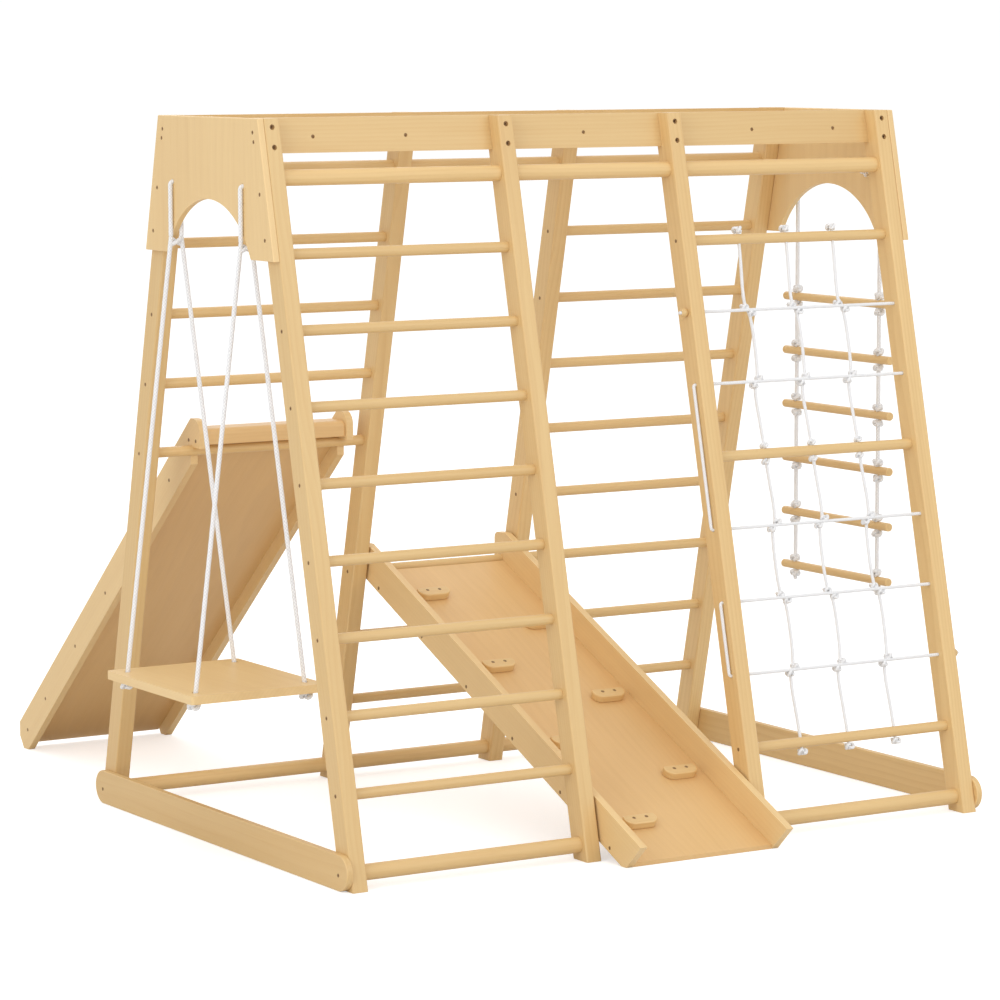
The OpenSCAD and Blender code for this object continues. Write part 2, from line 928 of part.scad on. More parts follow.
ladder_x = panel_face + 15;
hang_r = 10;
ladder_pivot_z = hole_z - hang_r - rope_d;
ladder_knot_r = 9;
ladder_knot_h = 14;
hanger_knot_r = 10;
step_z = [for (n = [0:step_count - 1]) step_low_z + n * step_pitch];
ladder_foot = step_low_z - step_d / 2 - ladder_knot_h - rope_d;

// Rope from its knot inside the panel, out through the hole and over to the ladder
module ladder_hanger(sy) {
    color(rope_white)
        translate([0, sy * rope_half, 0]) {
            tube(concat(
                [[end_face - ladder_knot_h - rope_d / 2, 0, hole_z]],
                bend([ladder_x - hang_r, 0, hole_z - hang_r], hang_r, 90, 0),
                [[ladder_x, 0, ladder_pivot_z + rope_d / 2 + touch_gap]]
            ), rope_d, 10, [0, 1, 0]);
        }
}

module hanger_knots() {
    color(rope_white)
        for (sy = [-1, 1])
            translate([end_face, sy * rope_half, hole_z])
                rotate([0, -90, 0])
                    knot_ring(hanger_knot_r, ladder_knot_h, rope_d);
}

// Straight rope with a rounded top at the turning point
module ladder_rope_solid(sy) {
    translate([ladder_x, sy * rope_half, 0]) {
        translate([0, 0, ladder_foot])
            cylinder(h = ladder_pivot_z - ladder_foot, d = rope_d);
        translate([0, 0, ladder_pivot_z])
            sphere(d = rope_d);
    }
}

module ladder_rope(sy) {
    color(rope_white)
        ladder_rope_solid(sy);
}

module ladder_line(d) {
    for (sy = [-1, 1])
        translate([ladder_x, sy * rope_half, ladder_foot - 10])
            cylinder(h = ladder_pivot_z - ladder_foot, d = d);
}

module step(z) {
    translate([ladder_x, step_len / 2, z])
        rotate([90, 0, 0])
            cylinder(h = step_len, d = step_d);
}

module ladder_rungs() {
    color(wood_pale)
        difference() {
            for (z = step_z)
                step(z);
            ladder_line(rope_d + 2 * touch_gap);
        }
}

module ladder_knots() {
    color(rope_white)
        for (z = step_z)
            for (sy = [-1, 1])
                for (low = [step_d / 2, -step_d / 2 - ladder_knot_h])
                    translate([ladder_x, sy * rope_half, z + low])
                        knot_ring(ladder_knot_r, ladder_knot_h, rope_d);
}

// ---------------------------------------------------------------- net

net_bay = 2;
net_x = [for (n = [0:2]) leg_x[net_bay] + leg_w / 2 + net_first + n * net_pitch];
net_rows = [2, 3, 5, 6, 7];
net_rungs = front_right_rungs;
net_knot_r = 8;
net_rise = rung_d / 2 + net_knot_r * 0.7;
net_top = along(pos_z(1)) + net_rise;
net_low = along(pos_z(last - 1)) - net_rise - net_knot_r;
lace_y = -(net_d + touch_gap);
lace_bend = net_d / 2 + 1;
bead_d = 16;
bead_len = 12;
net_left = leg_x[net_bay] - leg_w / 2;
net_right = leg_x[net_bay + 1] + leg_w / 2;

module net_lines(d) {
    in_leg_plane(FRONT)
        for (x = net_x)
            translate([x, 0, net_low])
                cylinder(h = net_top + net_knot_r - net_low, d = d);
}

module net_rung_holes() {
    net_lines(net_d + 2 * touch_gap);
}

module lace_rods(d) {
    in_leg_plane(FRONT)
        for (k = net_rows)
            translate([0, lace_y, along(pos_z(k))])
                x_rod(net_left - leg_w, net_right + leg_w, d);
}

module net_leg_holes(i) {
    lace_rods(net_d + 1);
}

module net_uprights() {
    color(rope_white)
        net_lines(net_d);
}

// Turn of the lacing on a leg's outer face, between two rows; side +1 right, -1 left
function lace_turn(s, z0, z1) =
    let (x = s == 1 ? net_right : net_left, r = lace_bend)
    concat(
        bend([x, 0, z0 - r], r, 90, s == 1 ? 0 : 180),
        bend([x, 0, z1 + r], r, s == 1 ? 0 : 180, s == 1 ? -90 : 270)
    );

module net_lacing() {
    z = [for (k = net_rows) along(pos_z(k))];
    color(rope_white)
        in_leg_plane(FRONT)
            translate([0, lace_y, 0])
                tube(concat(
                    [[net_left - bead_len - 5, 0, z[0]]],
                    lace_turn(1, z[0], z[1]),
                    lace_turn(-1, z[1], z[2]),
                    lace_turn(1, z[2], z[3]),
                    lace_turn(-1, z[3], z[4]),
                    [[net_right + bead_len + 5, 0, z[4]]]
                ), net_d, 8, [0, 1, 0]);
}

// An upright is knotted above its highest rung, below its lowest, and on both sides in between
function rung_knot_sides(k) = k == min(net_rungs) ? [1] : k == max(net_rungs) ? [-1] : [-1, 1];

module net_knots() {
    color(rope_white)
        difference() {
            in_leg_plane(FRONT)
                for (x = net_x) {
                    for (k = net_rows)
                        translate([x, lace_y / 2, along(pos_z(k))])
                            sphere(r = net_knot_r);
                    for (k = net_rungs)
                        for (e = rung_knot_sides(k))
                            translate([x, 0, along(pos_z(k)) + e * net_rise])
                                sphere(r = net_knot_r);
                }
            net_lines(net_d);
            lace_rods(net_d);
            for (k = net_rungs)
                at_rung(FRONT, pos_z(k))
                    x_rod(net_left, net_right, rung_d);
        }
}

// Wooden beads hold the lacing's two ends against the legs
module net_bead(x, z) {
    in_leg_plane(FRONT)
        translate([x, lace_y, z])
            rotate([0, 90, 0])
                difference() {
                    intersection() {
                        sphere(d = bead_d);
                        cylinder(h = bead_len, d = bead_d, center = true);
                    }
                    cylinder(h = bead_d, d = net_d, center = true);
                }
}

module net_beads() {
    color(wood) {
        net_bead(net_left - bead_len / 2, along(pos_z(2)));
        net_bead(net_right + bead_len / 2, along(pos_z(7)));
    }
}

// ---------------------------------------------------------------- drawing

// The origin is the middle of the whole footprint, with the swing and both chutes in it
reach_left = min(swing_x - seat_w / 2, -panel_face);
reach_right = ladder_x + step_d / 2;
reach_front = min(ramp_hook[0] - ramp_end, -leg_y(bar_z) - base_h / 2);
reach_rear = slide_hook[0] + slide_end;

module placed() {
    translate([-(reach_left + reach_right) / 2, -(reach_front + reach_rear) / 2, 0])
        children();
}

placed() leg(FRONT, 0);  // front_leg_1
placed() leg(FRONT, 1);  // front_leg_2
placed() leg(FRONT, 2);  // front_leg_3
placed() leg(FRONT, 3);  // front_leg_4
placed() leg(REAR, 0);  // rear_leg_1
placed() leg(REAR, 1);  // rear_leg_2
placed() leg(REAR, 2);  // rear_leg_3
placed() leg(REAR, 3);  // rear_leg_4
placed() arch_panel(0);  // arch_panel_left
placed() arch_panel(3);  // arch_panel_right
placed() base_board(0);  // base_board_left
placed() base_board(3);  // base_board_right
placed() top_rail(FRONT);  // top_rail_front
placed() top_rail(REAR);  // top_rail_rear
placed() thick_bar(FRONT, 0, 3, pos_z(0));  // top_bar_front
placed() thick_bar(REAR, 0, 3, pos_z(0));  // top_bar_rear
placed() thick_bar(FRONT, 0, 1, bar_z);  // bottom_bar_front_left
placed() thick_bar(FRONT, 2, 3, bar_z);  // bottom_bar_front_right
placed() thick_bar(REAR, 0, 3, bar_z);  // bottom_bar_rear
placed() rungs(FRONT, 0, front_left_rungs);  // rungs_front_left
placed() rungs(FRONT, 2, front_right_rungs);  // rungs_front_right
placed() rungs(REAR, 0, rear_left_rungs);  // rungs_rear_left
placed() rungs(REAR, 0, [slide_rung]);  // slide_hook_rung
placed() rungs(REAR, 1, [ramp_rung]);  // ramp_hook_rung
placed() rungs(REAR, 1, rear_middle_rungs);  // rungs_rear_middle
placed() rungs(REAR, 2, rear_right_rungs);  // rungs_rear_right
placed() monkey_bars();
placed() leg_bolts();
placed() insert_nuts();
placed() rung_screws();
placed() panel_screws();
placed() monkey_bar_screws();
placed() slide_side(-1);  // slide_side_left
placed() slide_side(1);  // slide_side_right
placed() slide_bed();
placed() slide_top_block();
placed() slide_screws();
placed() ramp_side(-1);  // ramp_side_left
placed() ramp_side(1);  // ramp_side_right
placed() ramp_bed();
placed() climbing_holds();
placed() hold_screws();
placed() ramp_screws();
placed() swing_seat();
placed() swing_rope(FRONT);  // swing_rope_front
placed() swing_rope(REAR);  // swing_rope_rear
placed() swing_knots();
placed() swing_loop(FRONT);  // swing_loop_front
placed() swing_loop(REAR);  // swing_loop_rear
placed() ladder_rungs();
placed() ladder_rope(FRONT);  // ladder_rope_front
placed() ladder_rope(REAR);  // ladder_rope_rear
placed() ladder_knots();
placed() ladder_hanger(FRONT);  // ladder_hanger_front
placed() ladder_hanger(REAR);  // ladder_hanger_rear
placed() hanger_knots();
placed() net_uprights();
placed() net_lacing();
placed() net_knots();
placed() net_beads();
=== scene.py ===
"""Look of the wooden indoor climbing frame: timber, ropes, knots, screws, light and camera."""

import logging
import math
from dataclasses import dataclass, field
from enum import Enum

import bmesh
import bpy
import numpy as np
from mathutils import Matrix, Vector


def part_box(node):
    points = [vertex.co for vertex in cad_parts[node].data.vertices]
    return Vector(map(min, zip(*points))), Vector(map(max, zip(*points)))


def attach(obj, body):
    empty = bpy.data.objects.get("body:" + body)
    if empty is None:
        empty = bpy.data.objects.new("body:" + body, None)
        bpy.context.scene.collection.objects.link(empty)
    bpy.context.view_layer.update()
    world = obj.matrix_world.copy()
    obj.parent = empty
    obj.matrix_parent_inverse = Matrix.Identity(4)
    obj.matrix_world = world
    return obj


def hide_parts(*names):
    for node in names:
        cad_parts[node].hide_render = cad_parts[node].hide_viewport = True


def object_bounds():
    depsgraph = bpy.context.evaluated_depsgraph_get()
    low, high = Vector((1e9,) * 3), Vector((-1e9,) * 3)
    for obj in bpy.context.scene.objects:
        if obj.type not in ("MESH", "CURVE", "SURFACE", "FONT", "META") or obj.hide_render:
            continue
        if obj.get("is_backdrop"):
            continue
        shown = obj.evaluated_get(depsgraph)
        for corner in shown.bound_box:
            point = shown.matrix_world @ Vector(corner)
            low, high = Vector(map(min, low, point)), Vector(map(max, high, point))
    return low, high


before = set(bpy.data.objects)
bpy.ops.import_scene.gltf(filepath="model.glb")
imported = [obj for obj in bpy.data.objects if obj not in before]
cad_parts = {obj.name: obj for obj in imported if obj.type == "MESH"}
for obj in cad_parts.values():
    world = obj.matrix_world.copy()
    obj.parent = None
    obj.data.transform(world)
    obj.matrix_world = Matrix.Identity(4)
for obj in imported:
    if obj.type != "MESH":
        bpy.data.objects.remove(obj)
LOG = logging.getLogger("climbing_frame")

Socket = bpy.types.NodeSocket
Tree = bpy.types.NodeTree
Material = bpy.types.Material
Piece = bpy.types.Object
Triple = tuple[float, float, float]

MM = 0.001
WELD = 2e-6                          # points nearer than this are one corner, in metres
SLIVER = 1e-6                        # edges shorter than this are dropped, in metres
FLAT_WITHIN = math.radians(0.5)      # faces that lean less than this are one flat
SHADE_SHARP = math.radians(25.0)     # edges sharper than this are shaded as edges
STRAND_SWELL = 0.03                  # a braided cord's swelling, as a part of its radius
CORD_END = 0.72                      # a cut cord's end, as a part of its radius
CAP_UV = 0.3                         # the braid's place on a cut end
GOLDEN_TURN = 2.39996                # turn between one knot and the next, in radians


# ------------------------------------------------------------------ places and sizes

@dataclass(frozen=True)
class Plan:
    """Driving sizes of the frame in millimetres, about the middle of its four pairs of legs."""

    height: float = 1280.0
    top_half: float = 164.0
    foot_half: float = 456.0
    end_face: float = 657.0
    panel: float = 12.0
    bar_z: float = 27.0
    rung_pitch: float = 128.0
    rung: float = 19.0
    rope: float = 8.0
    rope_half: float = 132.0
    hole_z: float = 1164.0
    pivot_z: float = 1059.32
    ladder_x: float = 684.0
    ladder_pivot_z: float = 1146.0
    cord: float = 6.0

    @property
    def lean(self) -> float:
        """Lean of the legs from upright, in radians."""
        return math.atan((self.foot_half - self.top_half) / self.height)

    @property
    def swing_x(self) -> float:
        """Middle of the left arch panel's thickness."""
        return -(self.end_face + self.panel / 2)

    def rung_z(self, k: int) -> float:
        """Height of rung position k, counted from the top bar downwards."""
        return self.bar_z + self.rung_pitch * (9 - k)


PLAN = Plan()


class Yard:
    """Turns the plan's millimetres into metres in the row's frame."""

    def __init__(self) -> None:
        """Finds the frame's middle from the two top bars."""
        low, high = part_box("top_bar_front")
        rear_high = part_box("top_bar_rear")[1]
        self.mid = np.array([(low[0] + high[0]) / 2, (low[1] + rear_high[1]) / 2, 0.0])

    def at(self, x: float, y: float, z: float) -> np.ndarray:
        """Place of a plan point.

        Args:
            x: along the frame, in millimetres.
            y: across the frame, in millimetres.
            z: height, in millimetres.

        Returns:
            The point in metres.
        """
        return np.array([x, y, z]) * MM + self.mid

    def points(self, places: np.ndarray) -> np.ndarray:
        """The same for an n by 3 array of plan points."""
        return np.asarray(places, float) * MM + self.mid

    def in_front_plane(self, x: float, off: float, along: float) -> list[float]:
        """Plan point in the leaning plane of the front legs.

        Args:
            x: along the frame.
            off: across the plane, inwards.
            along: distance up the plane from the floor.

        Returns:
            The plan point [x, y, z].
        """
        c = math.cos(PLAN.lean)
        s = math.sin(PLAN.lean)
        return [x, -PLAN.foot_half + along * s + off * c, along * c - off * s]


# ------------------------------------------------------------------ node groups

VECTOR = "NodeSocketVector"
COLOUR = "NodeSocketColor"
NUMBER = "NodeSocketFloat"


def new_group(name: str, inputs: list[tuple[str, str, object]], outputs: list[tuple[str, str]]):
    """Makes an empty shader node group with named sockets.

    Args:
        name: the group's name.
        inputs: (name, socket type, default) of each input.
        outputs: (name, socket type) of each output.

    Returns:
        The group, its input node and its output node.
    """
    group = bpy.data.node_groups.new(name, "ShaderNodeTree")
    for label, kind, value in inputs:
        socket = group.interface.new_socket(label, in_out="INPUT", socket_type=kind)
        if value is not None:
            socket.default_value = value
    for label, kind in outputs:
        group.interface.new_socket(label, in_out="OUTPUT", socket_type=kind)
    return group, group.nodes.new("NodeGroupInput"), group.nodes.new("NodeGroupOutput")


class Wires:
    """Short calls that add nodes to one node tree and join them."""

    def __init__(self, tree: Tree) -> None:
        """Keeps the tree."""
        self.tree = tree

    def node(self, kind: str, **settings: object) -> bpy.types.Node:
        """Adds a node of that type and sets its properties."""
        made = self.tree.nodes.new(kind)
        for key, value in settings.items():
            setattr(made, key, value)
        return made

    def join(self, source: Socket, target: Socket) -> None:
        """Links two sockets."""
        self.tree.links.new(source, target)

    def feed(self, value: object, socket: Socket) -> None:
        """Links a socket, or sets a plain value on the target."""
        if isinstance(value, Socket):
            self.join(value, socket)
        else:
            socket.default_value = value

    def math(self, operation: str, a: object, b: object = 0.0, clamp: bool = False) -> Socket:
        """One Math node."""
        made = self.node("ShaderNodeMath", operation=operation, use_clamp=clamp)
        self.feed(a, made.inputs[0])
        self.feed(b, made.inputs[1])
        return made.outputs[0]

    def scaled(self, vector: Socket, scale: Triple) -> Socket:
        """A vector times a scale, axis by axis."""
        made = self.node("ShaderNodeVectorMath", operation="MULTIPLY")
        self.join(vector, made.inputs[0])
        made.inputs[1].default_value = scale
        return made.outputs[0]

    def fill(self, node: bpy.types.Node, inputs: dict[str, object]) -> None:
        """Feeds a node's inputs by name."""
        for label, value in inputs.items():
            self.feed(value, node.inputs[label])

    def use(self, group: Tree, inputs: dict[str, object]) -> bpy.types.Node:
        """Places a node group and feeds its inputs by name."""
        made = self.node("ShaderNodeGroup", node_tree=group)
        self.fill(made, inputs)
        return made

    def bump(self, height: Socket, strength: float, distance: float) -> Socket:
        """The normal of a bumped surface."""
        made = self.node("ShaderNodeBump")
        self.fill(made, {"Height": height, "Strength": strength, "Distance": distance})
        return made.outputs[0]

    def noise(self, vector: Socket, scale: float, detail: float = 3.0,
              rough: float = 0.5) -> Socket:
        """A noise value between 0 and 1."""
        made = self.node("ShaderNodeTexNoise")
        self.fill(made, {"Vector": vector, "Scale": scale, "Detail": detail, "Roughness": rough})
        return made.outputs[0]

    def ramp(self, value: object, low: float, high: float, to_low: float = 0.0,
             to_high: float = 1.0) -> Socket:
        """A clamped change of range."""
        made = self.node("ShaderNodeMapRange")
        made.clamp = True
        self.fill(made, {"Value": value, "From Min": low, "From Max": high,
                         "To Min": to_low, "To Max": to_high})
        return made.outputs[0]

    def mix(self, factor: object, a: object, b: object) -> Socket:
        """Colour a to colour b by a factor."""
        made = self.node("ShaderNodeMix", data_type="RGBA")
        self.feed(factor, made.inputs[0])
        self.feed(a, made.inputs[6])
        self.feed(b, made.inputs[7])
        return made.outputs[2]


class Effects:
    """The shader node groups that the finishes share, each built once."""

    def __init__(self) -> None:
        """Builds the groups."""
        self.grain = self.build_grain()
        self.edge = self.build_edge()
        self.braid = self.build_braid()
        self.tarnish = self.build_tarnish()

    def build_grain(self) -> Tree:
        """Pine grain: growth rings cut lengthwise, soft streaks, fine fibres and pores.

        The vector comes in with its X axis along the fibres. Rings are bands of the distance from
        a heart line that wanders, so flat boards show long arches and rungs show stripes.
        """
        group, start, end = new_group(
            "pine_grain",
            [("Vector", VECTOR, None), ("Light", COLOUR, (0.8, 0.58, 0.33, 1)),
             ("Dark", COLOUR, (0.6, 0.38, 0.18, 1)), ("Ring Strength", NUMBER, 0.35),
             ("Fibre Strength", NUMBER, 0.3)],
            [("Color", COLOUR), ("Roughness", NUMBER), ("Height", NUMBER)])
        w = Wires(group)
        vector = start.outputs["Vector"]
        wander = w.noise(w.scaled(vector, (1.3, 5.0, 5.0)), 1.0, 2.0)
        split = w.node("ShaderNodeSeparateXYZ")
        w.join(vector, split.inputs[0])
        y = w.math("ADD", w.math("ADD", split.outputs[1], 0.031), w.math("MULTIPLY", wander, 0.05))
        z = w.math("ADD", w.math("ADD", split.outputs[2], 0.017), w.math("MULTIPLY", wander, 0.035))
        radius = w.math("SQRT", w.math("ADD", w.math("MULTIPLY", y, y), w.math("MULTIPLY", z, z)))
        band = w.math("FRACT", w.math("MULTIPLY", radius, 150.0))
        rings = w.math("MULTIPLY", w.ramp(band, 0.35, 0.93), w.ramp(band, 1.0, 0.94))
        streaks = w.noise(w.scaled(vector, (2.2, 60.0, 60.0)), 1.0, 4.0, 0.6)
        fibres = w.noise(w.scaled(vector, (14.0, 700.0, 700.0)), 1.0, 2.0, 0.5)
        broad = w.noise(w.scaled(vector, (1.1, 4.5, 4.5)), 1.0, 2.0)
        amount = w.math("MULTIPLY", rings, start.outputs["Ring Strength"])
        soft = w.math("MULTIPLY", w.ramp(streaks, 0.35, 0.7), start.outputs["Fibre Strength"])
        deep = w.math("MULTIPLY", w.ramp(broad, 0.35, 0.7), 0.28)
        hair = w.math("MULTIPLY", w.ramp(fibres, 0.55, 0.75), 0.16)
        total = w.math("ADD", w.math("ADD", amount, soft), w.math("ADD", deep, hair), clamp=True)
        w.join(w.mix(total, start.outputs["Light"], start.outputs["Dark"]), end.inputs["Color"])
        rough = w.math("ADD", w.math("MULTIPLY", fibres, 0.16), w.math("MULTIPLY", rings, -0.06))
        w.join(w.math("ADD", rough, 0.40), end.inputs["Roughness"])
        height = w.math("SUBTRACT", w.math("MULTIPLY", rings, 0.4), w.math("MULTIPLY", fibres, 0.8))
        w.join(height, end.inputs["Height"])
        return group

    def build_edge(self) -> Tree:
        """Handled edges: the worked-over rim of a board is a little paler and smoother, in patches."""
        group, start, end = new_group(
            "handled_edge",
            [("Vector", VECTOR, None), ("Color", COLOUR, (1, 1, 1, 1)),
             ("Roughness", NUMBER, 0.5), ("Rim", COLOUR, (0.9, 0.75, 0.5, 1)),
             ("Amount", NUMBER, 0.5)],
            [("Color", COLOUR), ("Roughness", NUMBER)])
        w = Wires(group)
        mark = w.node("ShaderNodeAttribute", attribute_name="rim")
        patch = w.ramp(w.noise(start.outputs["Vector"], 26.0, 3.0), 0.3, 0.6, 0.45, 1.0)
        mask = w.math("MULTIPLY", w.math("MULTIPLY", mark.outputs["Fac"], patch), start.outputs["Amount"])
        w.join(w.mix(mask, start.outputs["Color"], start.outputs["Rim"]), end.inputs["Color"])
        less = w.math("MULTIPLY", mask, 0.12)
        w.join(w.math("SUBTRACT", start.outputs["Roughness"], less), end.inputs["Roughness"])
        return group

    def build_braid(self) -> Tree:
        """Braided cord: two families of slanted strands cross over and under along the UV map.

        U runs once round the cord and V counts the cord's girths, so the strands keep their slant. The Dark
        colour is painted shade in the grooves between the strand crowns; the Light colour is the cord's own
        white.
        """
        group, start, end = new_group(
            "cord_braid",
            [("UV", VECTOR, None), ("Strands", NUMBER, 8.0),
             ("Light", COLOUR, (0.9, 0.89, 0.86, 1)), ("Dark", COLOUR, (0.6, 0.58, 0.54, 1))],
            [("Color", COLOUR), ("Roughness", NUMBER), ("Height", NUMBER)])
        w = Wires(group)
        split = w.node("ShaderNodeSeparateXYZ")
        w.join(start.outputs["UV"], split.inputs[0])
        turn = w.math("MULTIPLY", split.outputs[0], start.outputs["Strands"])
        run = w.math("MULTIPLY", split.outputs[1], start.outputs["Strands"])
        right = w.math("ADD", turn, run)
        left = w.math("SUBTRACT", turn, run)
        bump_a = w.math("ABSOLUTE", w.math("SINE", w.math("MULTIPLY", right, math.pi / 2)))
        bump_b = w.math("ABSOLUTE", w.math("SINE", w.math("MULTIPLY", left, math.pi / 2)))
        height = w.math("MULTIPLY", bump_a, bump_b)
        fuzz = w.noise(w.scaled(start.outputs["UV"], (40.0, 12.0, 1.0)), 1.0, 2.0)
        stray = w.math("MULTIPLY", w.math("SUBTRACT", fuzz, 0.5), 0.3)
        # painted shade: low places between strand crowns take the Dark colour, the crowns the Light one
        tone = w.math("ADD", w.ramp(height, 0.0, 0.45), stray, clamp=True)
        w.join(w.mix(tone, start.outputs["Dark"], start.outputs["Light"]), end.inputs["Color"])
        w.join(w.ramp(height, 0.0, 1.0, 0.85, 0.62), end.inputs["Roughness"])
        w.join(w.math("ADD", height, w.math("MULTIPLY", fuzz, 0.25)), end.inputs["Height"])
        return group

    def build_tarnish(self) -> Tree:
        """Dull plating: cloudy darker patches and fine scratches."""
        group, start, end = new_group(
            "dull_plating",
            [("Vector", VECTOR, None), ("Bright", COLOUR, (0.5, 0.45, 0.35, 1)),
             ("Dull", COLOUR, (0.25, 0.2, 0.14, 1))],
            [("Color", COLOUR), ("Roughness", NUMBER)])
        w = Wires(group)
        cloud = w.noise(start.outputs["Vector"], 420.0, 4.0)
        fine = w.noise(w.scaled(start.outputs["Vector"], (900.0, 2600.0, 900.0)), 1.0, 1.0)
        mask = w.math("ADD", w.ramp(cloud, 0.35, 0.7), w.math("MULTIPLY", fine, 0.2), clamp=True)
        w.join(w.mix(mask, start.outputs["Bright"], start.outputs["Dull"]), end.inputs["Color"])
        w.join(w.ramp(mask, 0.0, 1.0, 0.32, 0.6), end.inputs["Roughness"])
        return group


# ------------------------------------------------------------------ finishes

class Grain(Enum):
    """The row axis that a piece's fibres follow, and the piece's slope about X in radians."""

    ALONG = ("X", 0.0)
    ACROSS = ("Y", 0.0)
    UPRIGHT = ("Z", 0.0)
    FRONT_LEG = ("Z", PLAN.lean)
    REAR_LEG = ("Z", -PLAN.lean)
    SLIDE = ("Y", math.radians(41.25))
    RAMP = ("Y", math.radians(-24.1))


def new_material(name: str) -> tuple[Material, Wires, bpy.types.Node]:
    """Makes a material, and gives its wiring and its surface shader too."""
    made = bpy.data.materials.new(name)
    made.use_nodes = True
    return made, Wires(made.node_tree), made.node_tree.nodes["Principled BSDF"]


def grain_vector(w: Wires, grain: Grain, offset: Triple) -> Socket:
    """Object coordinates turned so that X runs along the fibres, moved to another stretch of timber.

    Args:
        w: the material's wiring.
        grain: the fibres' direction.
        offset: a shift that makes each piece's figure its own.

    Returns:
        The vector socket.
    """
    axis, slope = grain.value
    place = w.node("ShaderNodeTexCoord")
    level = w.node("ShaderNodeMapping", vector_type="POINT")
    w.fill(level, {"Vector": place.outputs["Object"], "Rotation": (slope, 0.0, 0.0)})
    split = w.node("ShaderNodeSeparateXYZ")
    w.join(level.outputs[0], split.inputs[0])
    order = {"X": (0, 1, 2), "Y": (1, 2, 0), "Z": (2, 0, 1)}[axis]
    joined = w.node("ShaderNodeCombineXYZ")
    for target, source in enumerate(order):
        w.join(split.outputs[source], joined.inputs[target])
    moved = w.node("ShaderNodeVectorMath", operation="ADD")
    w.join(joined.outputs[0], moved.inputs[0])
    moved.inputs[1].default_value = offset
    return moved.outputs[0]


@dataclass(frozen=True)
class Timber:
    """A clear-sealed pale timber."""

    name: str
    light: Triple
    dark: Triple
    rings: float
    fibres: float
    grain: Grain
    offset: Triple = (0.0, 0.0, 0.0)
    edge: float = 0.45
    rim: float = 1.12

    def material(self, effects: Effects) -> Material:
        """Builds the material.

        Args:
            effects: the shared node groups.

        Returns:
            The material, with a thin seal coat over the grain.
        """
        made, w, shader = new_material(self.name)
        vector = grain_vector(w, self.grain, self.offset)
        grain = w.use(effects.grain, {
            "Vector": vector, "Light": (*self.light, 1), "Dark": (*self.dark, 1),
            "Ring Strength": self.rings, "Fibre Strength": self.fibres})
        edge = w.use(effects.edge, {
            "Vector": vector, "Color": grain.outputs["Color"], "Roughness": grain.outputs["Roughness"],
            "Rim": (*[min(1.0, c * self.rim) for c in self.light], 1), "Amount": self.edge})
        w.fill(shader, {
            "Base Color": edge.outputs["Color"], "Roughness": edge.outputs["Roughness"],
            "Normal": w.bump(grain.outputs["Height"], 0.12, 0.0004),
            "Coat Weight": 0.18, "Coat Roughness": 0.35})
        return made


@dataclass(frozen=True)
class Cord:
    """White braided cord, with painted shade in the grooves of its braid."""

    name: str
    light: Triple = (0.93, 0.93, 0.93)
    # painted shade: the colour of the grooves between the braid's strands
    dark: Triple = (0.74, 0.74, 0.76)
    strands: float = 8.0

    def material(self, effects: Effects) -> Material:
        """Builds the material from the piece's UV map."""
        made, w, shader = new_material(self.name)
        uv = w.node("ShaderNodeUVMap", uv_map="girth")
        braid = w.use(effects.braid, {
            "UV": uv.outputs[0], "Strands": self.strands,
            "Light": (*self.light, 1), "Dark": (*self.dark, 1)})
        w.fill(shader, {
            "Base Color": braid.outputs["Color"], "Roughness": braid.outputs["Roughness"],
            "Normal": w.bump(braid.outputs["Height"], 0.6, 0.0008),
            "Sheen Weight": 0.25, "Sheen Roughness": 0.5})
        return made


@dataclass(frozen=True)
class Plating:
    """Dull plated steel of screws and bolts."""

    name: str
    bright: Triple = (0.42, 0.25, 0.11)
    dull: Triple = (0.22, 0.12, 0.05)

    def material(self, effects: Effects) -> Material:
        """Builds the material."""
        made, w, shader = new_material(self.name)
        place = w.node("ShaderNodeTexCoord")
        tarnish = w.use(effects.tarnish, {
            "Vector": place.outputs["Object"], "Bright": (*self.bright, 1), "Dull": (*self.dull, 1)})
        w.fill(shader, {
            "Base Color": tarnish.outputs["Color"], "Roughness": tarnish.outputs["Roughness"],
            "Metallic": 0.2})
        return made


# ------------------------------------------------------------------ surfaces

def grid_faces(rings: int, sides: int) -> np.ndarray:
    """Quads between neighbouring rings of a tube whose rings close on themselves."""
    i = np.arange(rings - 1)[:, None]
    k = np.arange(sides)[None, :]
    near = i * sides + k
    turn = i * sides + (k + 1) % sides
    return np.stack([near, turn, turn + sides, near + sides], axis=-1).reshape(-1, 4)


def resampled(path: np.ndarray, step: float) -> np.ndarray:
    """Points at even spacing along a path of straight pieces.

    Args:
        path: n by 3 points.
        step: wanted spacing.

    Returns:
        The new points, the path's own ends included.
    """
    gaps = np.linalg.norm(np.diff(path, axis=0), axis=1)
    run = np.concatenate([[0.0], np.cumsum(gaps)])
    count = max(2, int(round(run[-1] / step)) + 1)
    spots = np.linspace(0.0, run[-1], count)
    return np.stack([np.interp(spots, run, path[:, a]) for a in range(3)], axis=1)


def rounded(path: np.ndarray, times: int) -> np.ndarray:
    """Corner cutting: each pass swaps a corner for points a quarter in from it on both sides."""
    for _ in range(times):
        a = path[:-1] * 0.75 + path[1:] * 0.25
        b = path[:-1] * 0.25 + path[1:] * 0.75
        path = np.concatenate([path[:1], np.stack([a, b], axis=1).reshape(-1, 3), path[-1:]])
    return path


def placed(name: str, data: bpy.types.ID) -> Piece:
    """Makes an object of that data at the origin of the scene."""
    made = bpy.data.objects.new(name, data)
    bpy.context.scene.collection.objects.link(made)
    return made


